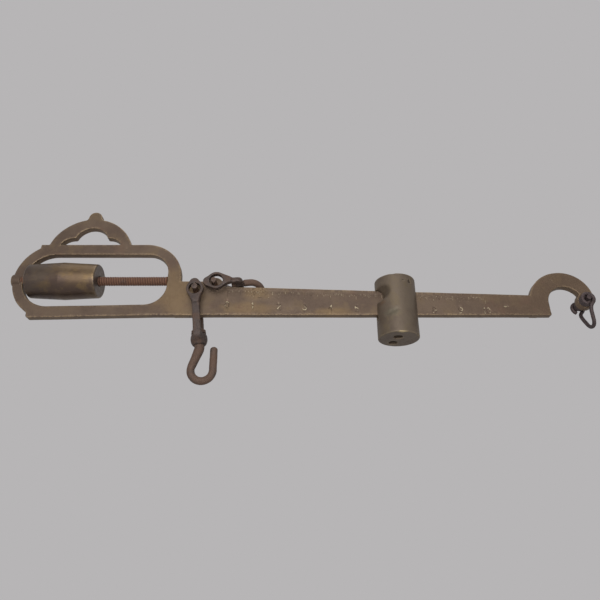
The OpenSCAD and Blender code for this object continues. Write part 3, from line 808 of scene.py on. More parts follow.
def casting_field(place):
    """Distance outside the casting as seen from the front, with its openings, its screw boss and
    the slight waviness that sand casting and wear leave."""
    x, z = place[..., 0], place[..., 1]
    reach = (BOSS_END + 0.35 - x, x - BOSS_END - BOSS_LENGTH)
    boss = rounded_corner(np.abs(z - AXIS_Z) - BOSS_R, np.maximum(*reach), 1.0)
    metal = soft_min(plate_field(x, z), boss, 1.2)
    metal = soft_max(metal, -loop_opening(x, z), 0.5)
    lobes = soft_min(soft_min(circle(x, z, (ARCH_MID, LOBE_Z), LOBE_R),
                              circle(x, z, (ARCH_MID - SIDE_LOBE_OFF, SIDE_LOBE_Z), SIDE_LOBE_R), 1.6),
                     circle(x, z, (ARCH_MID + SIDE_LOBE_OFF, SIDE_LOBE_Z), SIDE_LOBE_R), 1.6)
    metal = soft_max(metal, -soft_max(lobes, LOOP_TOP - z, 1.0), 0.5)
    wave = 0.1 * flat_noise(x, z, 15.0, 3) + 0.035 * flat_noise(x, z, 3.1, 4)
    return metal + 0.13 + wave


def half_thickness(x, z):
    """Half the casting's thickness: the plate, and the round boss that the screw runs in."""
    plate = HALF_T * smoothstep(-plate_field(x, z), -0.5, 0.5)
    round_boss = np.sqrt(np.maximum(BOSS_R ** 2 - (z - AXIS_Z) ** 2, 0))
    round_boss = round_boss * smoothstep(x - BOSS_END - BOSS_LENGTH, 0.3, -0.5)
    return np.maximum(np.where(x < -205, plate, HALF_T), round_boss)


# Each numeral's strokes, in a box one wide and one high: arcs are (x, z, rx, rz, from, to) in
# degrees, and lines are lists of corners
STROKES = {
    "0": [(0.5, 0.5, 0.45, 0.5, 0, 360)],
    "1": [[(0.5, 0.0), (0.5, 1.0), (0.28, 0.84)]],
    "2": [(0.5, 0.72, 0.42, 0.28, 165, -35), [(0.84, 0.56), (0.08, 0.0), (0.95, 0.0)]],
    "3": [(0.47, 0.76, 0.4, 0.24, 150, -80), (0.47, 0.27, 0.45, 0.27, 85, -150)],
    "4": [[(0.7, 0.0), (0.7, 1.0), (0.05, 0.3), (0.98, 0.3)]],
    "5": [[(0.88, 1.0), (0.22, 1.0), (0.16, 0.56)], (0.46, 0.32, 0.44, 0.32, 130, -140)],
    "6": [(0.5, 0.3, 0.43, 0.3, 0, 360), (0.86, 0.34, 0.79, 0.66, 95, 180)],
    "7": [[(0.06, 1.0), (0.94, 1.0), (0.36, 0.0)]],
    "8": [(0.5, 0.76, 0.34, 0.24, 0, 360), (0.5, 0.27, 0.43, 0.27, 0, 360)],
    "9": [(0.5, 0.7, 0.43, 0.3, 0, 360), (0.14, 0.66, 0.79, 0.66, -85, 0)],
}


def stroke_points(stroke, count=60):
    """Points along one stroke: round an ellipse for an arc, or evenly along straight lines."""
    if isinstance(stroke, tuple):
        x, z, rx, rz, start, end = stroke
        angle = np.radians(np.linspace(start, end, count))
        return np.stack([x + rx * np.cos(angle), z + rz * np.sin(angle)], -1)
    corner = np.array(stroke)
    far = np.concatenate([[0], np.cumsum(np.linalg.norm(np.diff(corner, axis=0), axis=1))])
    t = np.linspace(0, far[-1], count)
    return np.stack([np.interp(t, far, corner[:, k]) for k in (0, 1)], -1)


def numeral_places():
    """Every digit with the lower left corner and the width of its box, on the bar."""
    places = []
    for n in range(LAST_NUMERAL + 1):
        low = NUMERAL_Z - NUMERAL_FALL[0] * n - NUMERAL_FALL[1] * n ** 2 - NUMERAL_H / 2
        digits = str(n)
        width = NUMERAL_W if len(digits) == 1 else TWO_DIGIT_WIDTH * NUMERAL_W
        left = ZERO_X + DIVISION * n - width * (len(digits) * DIGIT_PITCH - DIGIT_GAP) / 2
        places += [(digit, left + DIGIT_PITCH * width * k, low, width) for k, digit in enumerate(digits)]
    return places


def engraving(x, z):
    """Depth of the marks cut in the front face: numerals within STROKE_EDGE of a stroke, and V-shaped
    ticks at every sixteenth of a division, longer at quarters and longest at the numerals."""
    depth = np.zeros_like(x)
    for digit, left, low, width in numeral_places():
        near = np.flatnonzero((np.abs(x - left - width / 2) < width)
                              & (np.abs(z - low - NUMERAL_H / 2) < NUMERAL_H))
        strokes = np.concatenate([stroke_points(s) for s in STROKES[digit]])
        strokes = strokes * [width, NUMERAL_H] + [left, low]
        far = np.hypot(x[near, None] - strokes[:, 0], z[near, None] - strokes[:, 1]).min(1)
        depth[near] = np.maximum(depth[near], NUMERAL_DEPTH * smoothstep(far, STROKE_EDGE, STROKE_FLOOR))
    step = DIVISION / 16
    tick = np.clip(np.round((x - ZERO_X) / step), 0, 16 * LAST_NUMERAL)
    length = np.select([tick % 16 == 0, tick % 4 == 0], [TICK_LENGTHS[16], TICK_LENGTHS[4]],
                       TICK_LENGTHS[1])
    down = bar_top(x) - z
    groove = np.clip(1 - np.abs(x - ZERO_X - tick * step) / TICK_HALF_WIDTH, 0, 1)
    groove = groove * smoothstep(down, TICK_TOP - 0.2, TICK_TOP + 0.2)
    groove = groove * smoothstep(down, TICK_TOP + length + 0.2, TICK_TOP + length - 0.3)
    return np.maximum(depth, TICK_DEPTH * groove)


# Pits in the front face: x, z, half width, half height, depth
FACE_PITS = [(299.8, -24.9, 2.9, 1.15, 0.9), (100.4, -12.3, 0.8, 0.7, 0.5), (56.3, -14.5, 0.7, 0.6, 0.4),
             (46.2, -14.0, 1.3, 0.7, 0.5), (119.6, -13.6, 0.9, 0.7, 0.4), (44.5, -9.2, 0.7, 0.8, 0.4),
             (-97.5, 43.6, 1.1, 0.8, 0.4), (-129.6, 42.2, 0.8, 0.8, 0.35), (352.0, 5.2, 0.9, 0.7, 0.35),
             (232.4, -16.2, 1.2, 1.0, 0.35), (265.2, -14.0, 0.9, 0.7, 0.3)]


def pitting(x, z):
    """Depth of the pits: a smooth dish within each one's ellipse."""
    depth = np.zeros_like(x)
    for px, pz, rx, rz, deep in FACE_PITS:
        depth = np.maximum(depth, deep * smoothstep(np.hypot((x - px) / rx, (z - pz) / rz), 1.15, 0.2))
    return depth


def block_of_points(left, right, low, high, step):
    """Points of a square grid over a rectangle."""
    grid = np.meshgrid(np.arange(left, right, step), np.arange(low, high, step), indexing="ij")
    return np.stack(grid, -1).reshape(-1, 2)


def fine_points():
    """Where the front face needs close points: round each numeral, down each tick, in each pit."""
    blocks = [block_of_points(left - 0.5, left + width + 0.6, low - 0.5, low + NUMERAL_H + 0.6, 0.27)
              for _, left, low, width in numeral_places()]
    step = DIVISION / 16
    for tick in range(16 * LAST_NUMERAL + 1):
        length = TICK_LENGTHS[16 if tick % 16 == 0 else 4 if tick % 4 == 0 else 1]
        x = ZERO_X + tick * step
        across, down = np.meshgrid([-0.42, -TICK_HALF_WIDTH, 0.0, TICK_HALF_WIDTH, 0.42],
                                   np.arange(TICK_TOP - 0.3, TICK_TOP + length + 0.5, 0.55))
        blocks.append(np.stack([x + across, bar_top(x) - down], -1).reshape(-1, 2))
    for px, pz, rx, rz, _ in FACE_PITS:
        blocks.append(block_of_points(px - 1.3 * rx, px + 1.3 * rx, pz - 1.3 * rz, pz + 1.3 * rz, 0.3))
    return np.concatenate(blocks)


def away_from(points, taken, gap=1.0):
    """The points whose square of a coarse grid, and the squares round it, hold none of those taken."""
    def key(cells):
        return cells[:, 0] * 100003 + cells[:, 1]
    squares = np.floor(taken / gap).astype(np.int64)
    full = np.concatenate([key(squares + shift) for shift in np.ndindex(3, 3)])
    return points[~np.isin(key(np.floor(points / gap).astype(np.int64) + 1), full)]


def face_mesh(rim, rim_edges, extra):
    """Triangles over one face of the casting: a Delaunay net of its rim, a hexagonal grid inside it
    and extra points, without the triangles that lie in the openings or outside."""
    step = 1.7
    low, high = rim.min(0), rim.max(0)
    rows = np.arange(low[1], high[1], step * 0.866)
    columns = np.arange(low[0], high[0], step)
    hexes = np.stack(np.meshgrid(columns, rows, indexing="ij"), -1)
    hexes[:, ::2, 0] += step / 2
    inner = hexes.reshape(-1, 2)
    near_boss = block_of_points(low[0], -200, AXIS_Z - 8, AXIS_Z + 8, 0.7)
    extra = extra[casting_field(extra) < -EDGE - 0.3]
    near_boss = near_boss[casting_field(near_boss) < -EDGE - 0.35]
    inner = away_from(away_from(inner, extra), near_boss) if len(extra) else away_from(inner, near_boss)
    inner = inner[casting_field(inner) < -EDGE - 0.7]
    points = np.concatenate([rim, inner, near_boss, extra])
    made, _, triangles, _, _, _ = delaunay_2d_cdt(
        list(map(Vector, points.tolist())), rim_edges.tolist(), [], 0, 1e-7)
    made = np.array(list(map(tuple, made)))
    triangles = np.array([t for t in triangles if len(t) == 3])
    corner = made[triangles]
    inside = casting_field(corner.mean(1)) < -EDGE
    a, b = corner[:, 1] - corner[:, 0], corner[:, 2] - corner[:, 0]
    area = a[:, 0] * b[:, 1] - a[:, 1] * b[:, 0]
    keep = inside & (np.abs(area) > 1e-7)
    triangles = triangles[keep]
    flipped = area[keep] < 0
    triangles[flipped] = triangles[flipped][:, ::-1]
    return made, triangles


def casting():
    """The brass casting in one piece. Its outline is the zero level of casting_field. From each point
    of it a rounded rim runs from the front face to the back one: an inset of EDGE(1 - sin a) and a
    depth of half the thickness less EDGE(1 - cos a), for a from 0 to 90 degrees, at both faces."""
    margin = 2
    low = (BOSS_END - margin, BOTTOM - LOOP_SINK - margin)
    high = (TIP_BOSS[0] + TIP_BOSS_R + margin, KNOB_Z + KNOB_R + margin)
    outline, number, edges = net(casting_field, low, high, 0.9)
    links = []
    for axis, (cross, inside) in enumerate(edges):
        other = 1 - axis
        inner = [slice(None)] * 2
        inner[other] = slice(1, -1)
        at = np.argwhere(cross[tuple(inner)])
        at[:, other] += 1
        before = at.copy()
        before[:, other] -= 1
        pair = np.stack([number[tuple(before.T)], number[tuple(at.T)]], 1)
        backward = inside[tuple(at.T)] == (axis == 1)
        pair[backward] = pair[backward][:, ::-1]
        links.append(pair)
    links = np.concatenate(links)
    outline = settled(outline, casting_field)
    way = slope(casting_field, outline)
    way /= np.linalg.norm(way, axis=1, keepdims=True)
    rim = settled(outline - EDGE * way, casting_field, -EDGE)
    angle = np.radians([0, 20, 45, 70, 90])
    rings, depths, rubbed = [], [], []
    for a in angle:
        ring = rim + (outline - rim) * math.sin(a)
        half = half_thickness(ring[:, 0], ring[:, 1])
        edge = np.minimum(EDGE, half)
        rings.append(ring)
        depths.append(half - edge * (1 - math.cos(a)))
        rubbed.append(np.full(len(ring), math.sin(2 * a) ** 0.7 if a < 1.57 else 0.35))
    rings = rings + rings[::-1]
    depths = [-d for d in depths] + depths[::-1]
    rubbed = rubbed + rubbed[::-1]
    count, rows = len(outline), len(rings)
    skin = [np.stack([r[:, 0], d, r[:, 1]], 1) for r, d in zip(rings, depths)]
    strip = [np.stack([k * count + links[:, 0], (k + 1) * count + links[:, 0],
                       (k + 1) * count + links[:, 1], k * count + links[:, 1]], 1)
             for k in range(rows - 1)]
    points, marks = np.concatenate(skin), {"edge": np.concatenate(rubbed)}
    marks["groove"] = np.zeros(len(points))
    quads, triangles = np.concatenate(strip), []
    for side, extra in ((-1, fine_points()), (1, np.zeros((0, 2)))):
        made, faces = face_mesh(rim, links, extra)
        x, z = made.T
        field = casting_field(made)
        deep = smoothstep(-field - EDGE, 0.02, 1.5)
        relief = deep * (WEAR_COARSE * (1 + flat_noise(x, z, 13.0, 8))
                         + WEAR_FINE * (1 + flat_noise(x, z, 4.0, 9)))
        cut = engraving(x, z) if side < 0 else np.zeros(len(x))
        pits = pitting(x, z) if side < 0 else np.zeros(len(x))
        away = half_thickness(x, z) - relief - cut - pits
        triangles.append(len(points) + (faces if side < 0 else faces[:, ::-1]))
        points = np.concatenate([points, np.stack([x, side * away, z], 1)])
        marks["edge"] = np.concatenate([marks["edge"], 0.5 * smoothstep(-field - EDGE, 0.9, 0)])
        marks["groove"] = np.concatenate([marks["groove"], np.clip(cut / TICK_DEPTH + pits * 1.6, 0, 1)])
    make_piece("brass_casting", "beam", CAST_BRASS, points,
               [quads, np.concatenate(triangles)], marks,
               ("beam_bar", "beam_loop", "beam_arch", "beam_gooseneck"))


def screw():
    """Balance screw along X: radius = outside radius less the thread's depth times a rounded V whose
    phase is distance / pitch - angle / full turn, so that the ridge winds as a helix."""
    pitch, depth, radius = 2.54, 0.66, (screw_high[2] - screw_low[2]) / 2
    wall, reach = HOLE_LEFT - HOLE_R - 2.2, HOLE_RIGHT + CORNER_R - 0.5
    start, end = BOSS_END + 0.3, screw_high[0]
    thread = np.arange(wall - 1, reach, pitch / 9)
    x = np.concatenate([[start - 0.2, start - 0.15, start, start + 0.5], thread,
                        [reach, reach + 0.3, reach + 0.3, end, end]])
    base = np.concatenate([[0, 0.6 * radius, radius - 0.5, radius], np.full(len(thread), radius),
                           [radius - 0.4, radius - 0.9, 3.0, 3.0, 0]])
    angle = 2 * math.pi * np.arange(36) / 36
    far, around = np.meshgrid(x, angle, indexing="ij")
    phase = far / pitch - around / (2 * math.pi)
    valley = np.abs(2 * (phase - np.floor(phase)) - 1) ** 1.3
    there = smoothstep(far, wall - 0.5, wall + 1) * smoothstep(far, reach, reach - 2)
    spread = np.stack([far, base[:, None] * np.cos(around), base[:, None] * np.sin(around)], -1)
    eaten = 0.1 * noise(spread, 2.6, 11) + 0.06 * noise(spread, 0.9, 12) + 0.08
    out = base[:, None] - there * (depth * (1 - valley) + eaten)
    points = np.stack([far, out * np.cos(around), AXIS_Z + out * np.sin(around)], -1)
    faces = grid_faces(len(x), len(angle))
    hollow = (there * (1 - valley) * 0.8).ravel()
    ridge = (there * smoothstep(valley, 0.7, 1)).ravel()
    return make_piece("thread_screw", "beam", SCREW_RUST, points.reshape(-1, 3), faces,
                      {"hollow": hollow, "edge": ridge}, ("balance_screw",))


def counterbalance():
    """The turned weight: a profile of two tapers that meet at the middle, carried round X."""
    length = weight_high[0] - weight_low[0]
    middle, end, bore = (weight_high[2] - weight_low[2]) / 2 - 0.04, 17.95, 5.3
    outer = [(bore, 0.9), (bore + 1.1, 0.1), (12, 0.25), (end - 1.1, 0.05), (end, 1.0),
             (middle - 0.25, length / 2 - 4), (middle, length / 2), (middle - 0.25, length / 2 + 4),
             (end, length - 1.0), (end - 1.1, length - 0.05), (12, length - 0.25),
             (bore + 1.1, length - 0.1), (bore, length - 0.9)]
    profile = eased(outer, 0.55, 3, closed=True)
    long_parts = []
    for a, b in zip(profile, np.roll(profile, -1, 0)):
        count = max(1, int(np.linalg.norm(b - a) / 1.6))
        long_parts.append(a + (b - a) * np.linspace(0, 1, count, endpoint=False)[:, None])
    profile = np.concatenate(long_parts)

    def rough(p):
        return 0.045 * noise(p, 9.0, 21) - 0.045 - 0.25 * smoothstep(noise(p, 3.2, 22), 0.72, 0.95)
    points, faces = lathe(profile, 96, ring=True, rough=rough)
    radius, height = np.hypot(points[:, 0], points[:, 1]), points[:, 2]
    ends = smoothstep(np.minimum(height, length - height), 1.2, 0.6)
    # A bright band at each end's outer rim, given as the edge mark: rubbed wear and a painted highlight.
    rim = np.exp(-((np.minimum(height, length - height) - 0.5) / 0.7) ** 2) * (radius > end - 1.6)
    points = points[:, [2, 0, 1]] + [weight_low[0], 0, AXIS_Z]
    make_piece("turned_weight", "weight", TURNED_BRASS, points, faces,
               {"edge": rim, "end_face": ends}, ("counterbalance_weight",))


def knife_pin(name, node, radius, edge, up, material):
    """A knife-edge pivot: its section is a round back and the two lines from the edge that touch it,
    drawn a little smaller at both ends, and carried along Y."""
    low, high = corners(node)
    centre = (low[0] + high[0]) / 2
    axis_z = (high[2] - edge if up else low[2] + edge)
    touch = math.acos(radius / edge)
    angle = np.linspace(touch, 2 * math.pi - touch, 22)
    arc = np.stack([np.sin(angle), np.cos(angle)], -1) * radius
    tip = [(-0.12, edge - 0.16), (0, edge - 0.06), (0.12, edge - 0.16)]
    flank = [(arc[0] * (1 - t) + np.array(tip[2]) * t) for t in (0.25, 0.5, 0.75)]
    section = np.concatenate([[tip[1], tip[2]], flank[::-1], arc, [-1 * f * [1, -1] for f in flank],
                              [tip[0]]])
    if not up:
        section[:, 1] *= -1
    half = (high[1] - low[1]) / 2
    rows = np.array([-half, -half, -half + 0.12, -half + 0.6])
    rows = np.concatenate([rows, np.arange(-half + 1.4, half - 1.4, 1.1), -rows[::-1]])
    scale = np.ones(len(rows))
    scale[:4] = (0, 0.8, 0.9, 0.985)
    scale[-4:] = (0.985, 0.9, 0.8, 0)
    points = np.zeros((len(rows), len(section), 3))
    points[..., 0] = centre + scale[:, None] * section[:, 0]
    points[..., 1] = rows[:, None]
    points[..., 2] = axis_z + scale[:, None] * section[:, 1]
    worn = 0.05 * noise(points, 2.4, 31)
    points[..., 0] += worn
    points[..., 2] += 0.6 * worn
    marks = {"edge": np.repeat(np.isin(np.arange(len(rows)), [2, 3, len(rows) - 4, len(rows) - 3]) * 0.8,
                               len(section))}
    make_piece(name, "beam", material, points.reshape(-1, 3),
               grid_faces(len(rows), len(section)), marks, (node,))


def collar(name, node, side):
    """A collar beside the tip's boss: a ring about Y with eased corners."""
    low, high = corners(node)
    outer = (high[2] - low[2]) / 2
    length = high[1] - low[1]
    profile = eased([(1.9, 0), (outer - 0.05, 0), (outer - 0.05, length), (1.9, length)], 0.8, 4, True)
    points, faces = lathe(profile, 48, ring=True, rough=lambda p: 0.08 * noise(p, 2.8, 41) - 0.08)
    height = points[:, 2] if side > 0 else length - points[:, 2]
    marks = {"edge": np.exp(-((height - length + 0.3) / 0.5) ** 2)}
    points = np.stack([points[:, 0] + (low[0] + high[0]) / 2, low[1] + points[:, 2],
                       points[:, 1] + (low[2] + high[2]) / 2], 1)
    make_piece(name, "beam", LINK_IRON, points, faces, marks, (node,))


def washer(name, node, body, spot, outer, inner, at):
    """A washer under a riveted head: a slightly dished ring about its hook's shank."""
    profile = eased([(inner, 0), (outer, 0), (outer - 0.1, WASHER_T - 0.2), (inner, WASHER_T)], 0.5, 4,
                    True)
    points, faces = lathe(profile, 44, ring=True, rough=lambda p: 0.14 * noise(p, 3.0, 51) - 0.14)
    points[:, 2] += at
    make_piece(name, body, RUSTY_IRON, placed(points, spot), faces, {}, (node,))


def lead_plug(name, node):
    """A lead plug hammered into its hole: a disc whose open face is dished and dented."""
    low, high = corners(node)
    radius, height = (high[0] - low[0]) / 2, high[2] - low[2]
    steps = np.linspace(0, 1, 10)
    face = [(radius * t * 0.99, 0.5 * (1 - t ** 2) + 0.05) for t in steps]
    profile = face + [(radius * 0.99, height), (0, height)]
    points, faces = lathe(profile, 36)
    points[:, 2] += 0.3 * noise(points, 2.2, 61) * (points[:, 2] < 2)
    centre = [(low[0] + high[0]) / 2, (low[1] + high[1]) / 2, low[2] + 0.3]
    make_piece(name, "poise", DULL_LEAD, points + centre, faces, {}, (node,))


def fork_field(hole_r, ring_r, nose, drop, leg_w, crown_in, crown_out, corner, crown, seed, sway=0.0):
    """Field of a forged fork: two flat eyes, each two pears that run up to the nose and down into the
    leg; two legs that turn into a crown, as one frame with round corners; and the crown's thick
    middle. Towards the crown the legs move over by the sway and grow that much narrower. All are
    blended as a smith's hammer leaves them, and the eyes are drilled."""
    def field(p):
        x, z = p[..., 0], p[..., 2]
        y = np.abs(p[..., 1])
        wave = 0.16 * noise(p, 6.5, seed) + 0.06 * noise(p, 2.1, seed + 1)
        eye = soft_min(pear(x, z, -drop, ring_r, nose - NOSE_R - drop, NOSE_R),
                       pear(x, -z, drop, ring_r, drop + 1.35 * ring_r, leg_w / 2), 1.0)
        eye = rounded_corner(eye, np.abs(y - (EYE_IN + EYE_OUT) / 2) - (EYE_OUT - EYE_IN) / 2, 1.2)
        outer = rounded_corner(y - LEG_OUT, -z - crown_out, corner)
        inner = rounded_corner(y - EYE_IN, -z - crown_in, corner / 2)
        share = sway * smoothstep(-z, 6, crown_in - 3)
        leg = rounded_corner(soft_max(outer, -inner, 0.6), np.abs(x - share) - (leg_w - share) / 2, 1.3)
        leg = np.maximum(leg, z + 0.7 * ring_r + drop)
        metal = soft_min(eye, leg, 2.4)
        metal = soft_min(metal, crown(np.hypot(x, p[..., 1]), z), 2.6)
        hole = np.hypot(x, z + drop) - hole_r
        return soft_max(metal, -hole, 0.7) + wave * smoothstep(hole, 0.3, 1.5) + 0.1
    return field


def fork(name, node, body, field, spot, low, high, step):
    """One forged fork as the skin of its field, turned to where it hangs."""
    points, faces = skin_of(field, low, high, step)
    marks = bend_marks(field, points)
    make_piece(name, body, FORGED_IRON, placed(points, spot), faces, marks, (node,))


def load_clevis():
    """The clevis under the load pivot, with a crown that bulges like a barrel."""
    def crown(out, z):
        return soft_max(np.hypot(out + 3.4, z + 53) - 11.9, np.abs(z + 53.4) - 6.3, 1.6)
    field = fork_field(6.0, 8.7, 11.9, 1.65, 7.8, 47.0, 56.0, 6.0, crown, 71)
    fork("forged_clevis", "load_clevis", "clevis", field, AT_LOAD, (-11, -17, -62), (11, 17, 14),
         FORK_STEP)


def fulcrum_hanger():
    """The hanger over the fulcrum, folded down along the bar, with a short round crown."""
    def crown(out, z):
        return soft_max(out - 4.9, np.abs(z + 25.5) - 3.4, 1.2)
    field = fork_field(6.8, 9.2, 13.6, 2.55, 6.6, 22.0, 29.0, 5.5, crown, 81, 1.2)
    fork("forged_hanger", "fulcrum_hanger", "hanger", field, AT_HANGER, (-11, -17, -31), (11, 17, 16),
         FORK_STEP)


def headed_rod(head_r, head_at, shank_r, shoulder, route, radii):
    """A hook's whole route: the riveted head's steps, the shank through the crown, then the bent rod
    with its own radii."""
    points, ways, _ = route
    top = head_at + HEAD_H
    heights = np.array([top, top - 0.1, top - 0.55, top - 1.9, head_at + 0.3, head_at, head_at,
                        shoulder + 0.6, shoulder])
    widths = np.array([0, 0.45, 0.74, 1.0, 1.0, 0.92, 0, 0, 0]) * head_r
    widths[6:] = shank_r
    head = np.stack([0 * heights, heights], -1)
    down = np.repeat([[0.0, -1.0]], len(heights), 0)
    return np.concatenate([head, points]), np.concatenate([down, ways]), np.concatenate([widths, radii])


def load_hook():
    """The load hook: straight out of the crown, an elbow, a straight length, the bowl and a rising
    tip. Its radius eases from the thick neck to the rod and a little more to the rounded tip."""
    elbow, elbow_r = np.array([-10.0, -61.0]), 10.0
    bowl, bowl_r = np.array([1.2, -85.6]), 10.9
    flare, tip_length = math.radians(6), 21.0
    away = bowl - elbow
    gap = math.hypot(*away)
    swing = math.asin((elbow_r + bowl_r) / gap) - math.atan2(away[0], -away[1])
    out = np.array([math.cos(swing), -math.sin(swing)])
    run = math.sqrt(gap ** 2 - (elbow_r + bowl_r) ** 2)
    first = elbow + elbow_r * out
    rise = bowl + bowl_r * np.array([math.cos(flare), -math.sin(flare)])
    route = joined(straight((0, -58.5), (0, -61)), bend(elbow, elbow_r, 0, -swing),
                   straight(first, first - run * np.array([math.sin(swing), math.cos(swing)])),
                   bend(bowl, bowl_r, math.pi - swing, 2 * math.pi - flare),
                   straight(rise, rise + tip_length * np.array([math.sin(flare), math.cos(flare)])))
    far = route[2]
    radii = np.interp(far, [0, 6, 16, 26, 60, far[-1]], [5.1, 5.0, 4.45, 4.0, 3.92, 3.75])
    points, ways, radii = headed_rod(7.2, -45.5, 4.0, -58.4, route, radii)
    points, ways, radii = round_end(points, ways, radii, bulge=0.8)

    def rough(p):
        return 0.1 * noise(p, 5.5, 91) + 0.07 * noise(p, 1.9, 92) - 0.08
    skin, faces = tube(points, ways, radii, 36, rough=rough)
    make_piece("forged_load_hook", "load_hook", RUSTY_IRON, placed(skin, AT_LOAD), faces,
               {}, ("load_hook",))


def hanger_hook():
    """The suspension hook: its shank through the hanger's crown, then one long round bend."""
    curl, curl_r = np.array([12.0, -36.0]), 12.0
    route = joined(straight((0, -29.6), (0, -36)), bend(curl, curl_r, math.pi, math.radians(395)))
    far = route[2]
    radii = np.interp(far, [0, 1.2, 30, far[-1] - 12, far[-1]], [3.3, 3.7, 3.4, 3.1, 2.7])
    points, ways, radii = headed_rod(4.3, -20.5, 3.0, -29.5, route, radii)
    points, ways, radii = round_end(points, ways, radii)

    def rough(p):
        return 0.08 * noise(p, 5.0, 95) + 0.05 * noise(p, 1.8, 96) - 0.07
    skin, faces = tube(points, ways, radii, 32, rough=rough)
    make_piece("forged_hanger_hook", "hanger_hook", RUSTY_IRON,
               placed(skin, AT_HANGER_HOOK), faces, {}, ("hanger_hook",))


def smooth_line(points, per_span=8):
    """A Catmull-Rom curve through points: on each span the cubic whose slope at a point is half the
    line between its neighbours."""
    padded = np.concatenate([2 * points[:1] - points[1:2], points, 2 * points[-1:] - points[-2:-1]])
    a, b, c, d = (padded[k:len(padded) - 3 + k, None] for k in range(4))
    t = (np.arange(per_span) / per_span)[None, :, None]
    curve = 0.5 * (2 * b + (c - a) * t + (2 * a - 5 * b + 4 * c - d) * t ** 2
                   + (3 * b - a - 3 * c + d) * t ** 3)
    return np.concatenate([curve.reshape(-1, points.shape[1]), points[-1:]])


def tip_link():
    """The tip link: one wire that starts beside its own leg, runs round the front eye, down and round
    the foot, up to the back eye and round it. The eyes lie across the pin, the legs draw together."""
    wire, eye_r, drop, apart, length = 1.95, 5.6, 0.55, 12.0, 26.4
    angle = np.radians(np.arange(238, -51, -14))
    eye = np.stack([eye_r * np.cos(angle), np.full(len(angle), apart), eye_r * np.sin(angle) - drop], -1)
    leg = np.array([(1.5, apart, -7.0), (0.35, apart - 0.5, -9.4), (0, apart - 1.6, -12.4),
                    (0.3, 9.1, -15.8), (0.7, 7.6, -19.4), (1.1, 6.2, -22.6), (1.4, 3.7, -25.3)])
    half = np.concatenate([eye, leg])
    foot = np.array([[1.5, 0, -length + 0.02]])
    line = smooth_line(np.concatenate([half * [1, -1, 1], foot, half[::-1]]), 6)
    ways = np.gradient(line, axis=0)
    ways /= np.linalg.norm(ways, axis=1, keepdims=True)
    radii = np.full(len(line), wire)
    line, ways, radii = round_end(line, ways, radii, bulge=0.35, steps=4)
    line, ways, radii = round_end(line, ways, radii, True, 4, 0.35)

    def rough(p):
        return 0.07 * noise(p, 3.6, 98) + 0.04 * noise(p, 1.3, 99) - 0.06
    skin, faces = tube(line, ways, radii, 20, carried_sides(ways), rough)
    make_piece("wire_link", "tip_link", LINK_IRON, placed(skin, AT_TIP), faces, {},
               ("tip_link",))


# Dents of the poise: centre, half sizes along X, Y and Z, and depth
POISE_DENTS = [((199.9, -17.2, -2.8), (2.1, 4, 2.9), 1.5), ((193.4, -20.0, -2.4), (1.7, 3, 0.7), 0.7),
               ((176.6, -16.5, -39.2), (4.6, 5, 2.6), 0.3), ((181.0, -19.0, -37.0), (4.8, 5, 2.6), 0.35),
               ((185.2, -20.3, -35.2), (3.8, 4, 2.2), 0.2), ((205.0, -12.0, -58.6), (3, 3, 1.2), 0.4),
               ((183.0, -19.9, 4.2), (3.5, 3, 1.2), 0.35), ((200.0, 17.0, -30.0), (2, 4, 2), 0.4)]


def poise_field(p):
    """Field of the poise: a cylinder with eased rims, less the slot for the bar, the two holes in its
    foot, the reading notch at the left of its face, and its dents."""
    x, y, z = p[..., 0], p[..., 1], p[..., 2]
    out = np.hypot(x - POISE_X, y) - POISE_R + 0.05
    body = rounded_corner(out, np.abs(z - (poise_low[2] + poise_high[2]) / 2)
                          - (poise_high[2] - poise_low[2]) / 2 + 0.05, 1.2)
    roof = bar_top(x) + 0.12
    slot = np.maximum(np.abs(y) - SLOT_HALF, np.maximum(z - roof, SLOT_FLOOR - z))
    metal = soft_max(body, -slot, 0.7)
    for hole_x, hole_y in LEAD_HOLES:
        hole = np.maximum(np.hypot(x - POISE_X - hole_x, y - hole_y) - LEAD_HOLE_R,
                          z - poise_low[2] - LEAD_HOLE_DEPTH)
        metal = soft_max(metal, -hole, 0.9)
    deep = np.clip((y - poise_low[1]) / (-SLOT_HALF - poise_low[1]), 0, 1)
    notch = np.hypot(x - poise_low[0] - 2.5 + 2.5 * deep, z - NOTCH_Z + 1.5 * deep)
    notch = notch - NOTCH_R + 3.2 * deep
    metal = soft_max(metal, -np.maximum(notch, y + 3.0), 1.4)
    wear = 0.06 * noise(p, 11.0, 101) + 0.035 * noise(p, 3.0, 102)
    for centre, reach, depth in POISE_DENTS:
        far = np.linalg.norm((p - np.array(centre)) / reach, axis=-1)
        wear = wear + depth * smoothstep(far, 1.1, 0.2)
    deep = smoothstep(-slot, -0.2, -1.5)
    return metal + 0.06 + wear * deep


def poise():
    """The poise as the skin of its field."""
    points, faces = skin_of(poise_field, poise_low - 1.5, poise_high + 1.5, POISE_STEP)
    marks = bend_marks(poise_field, points)
    make_piece("brass_poise", "poise", POISE_BRASS, points, faces, marks, ("poise",))


# The studio: a pale floor far below, a pale backdrop, and soft light from the front, below and above

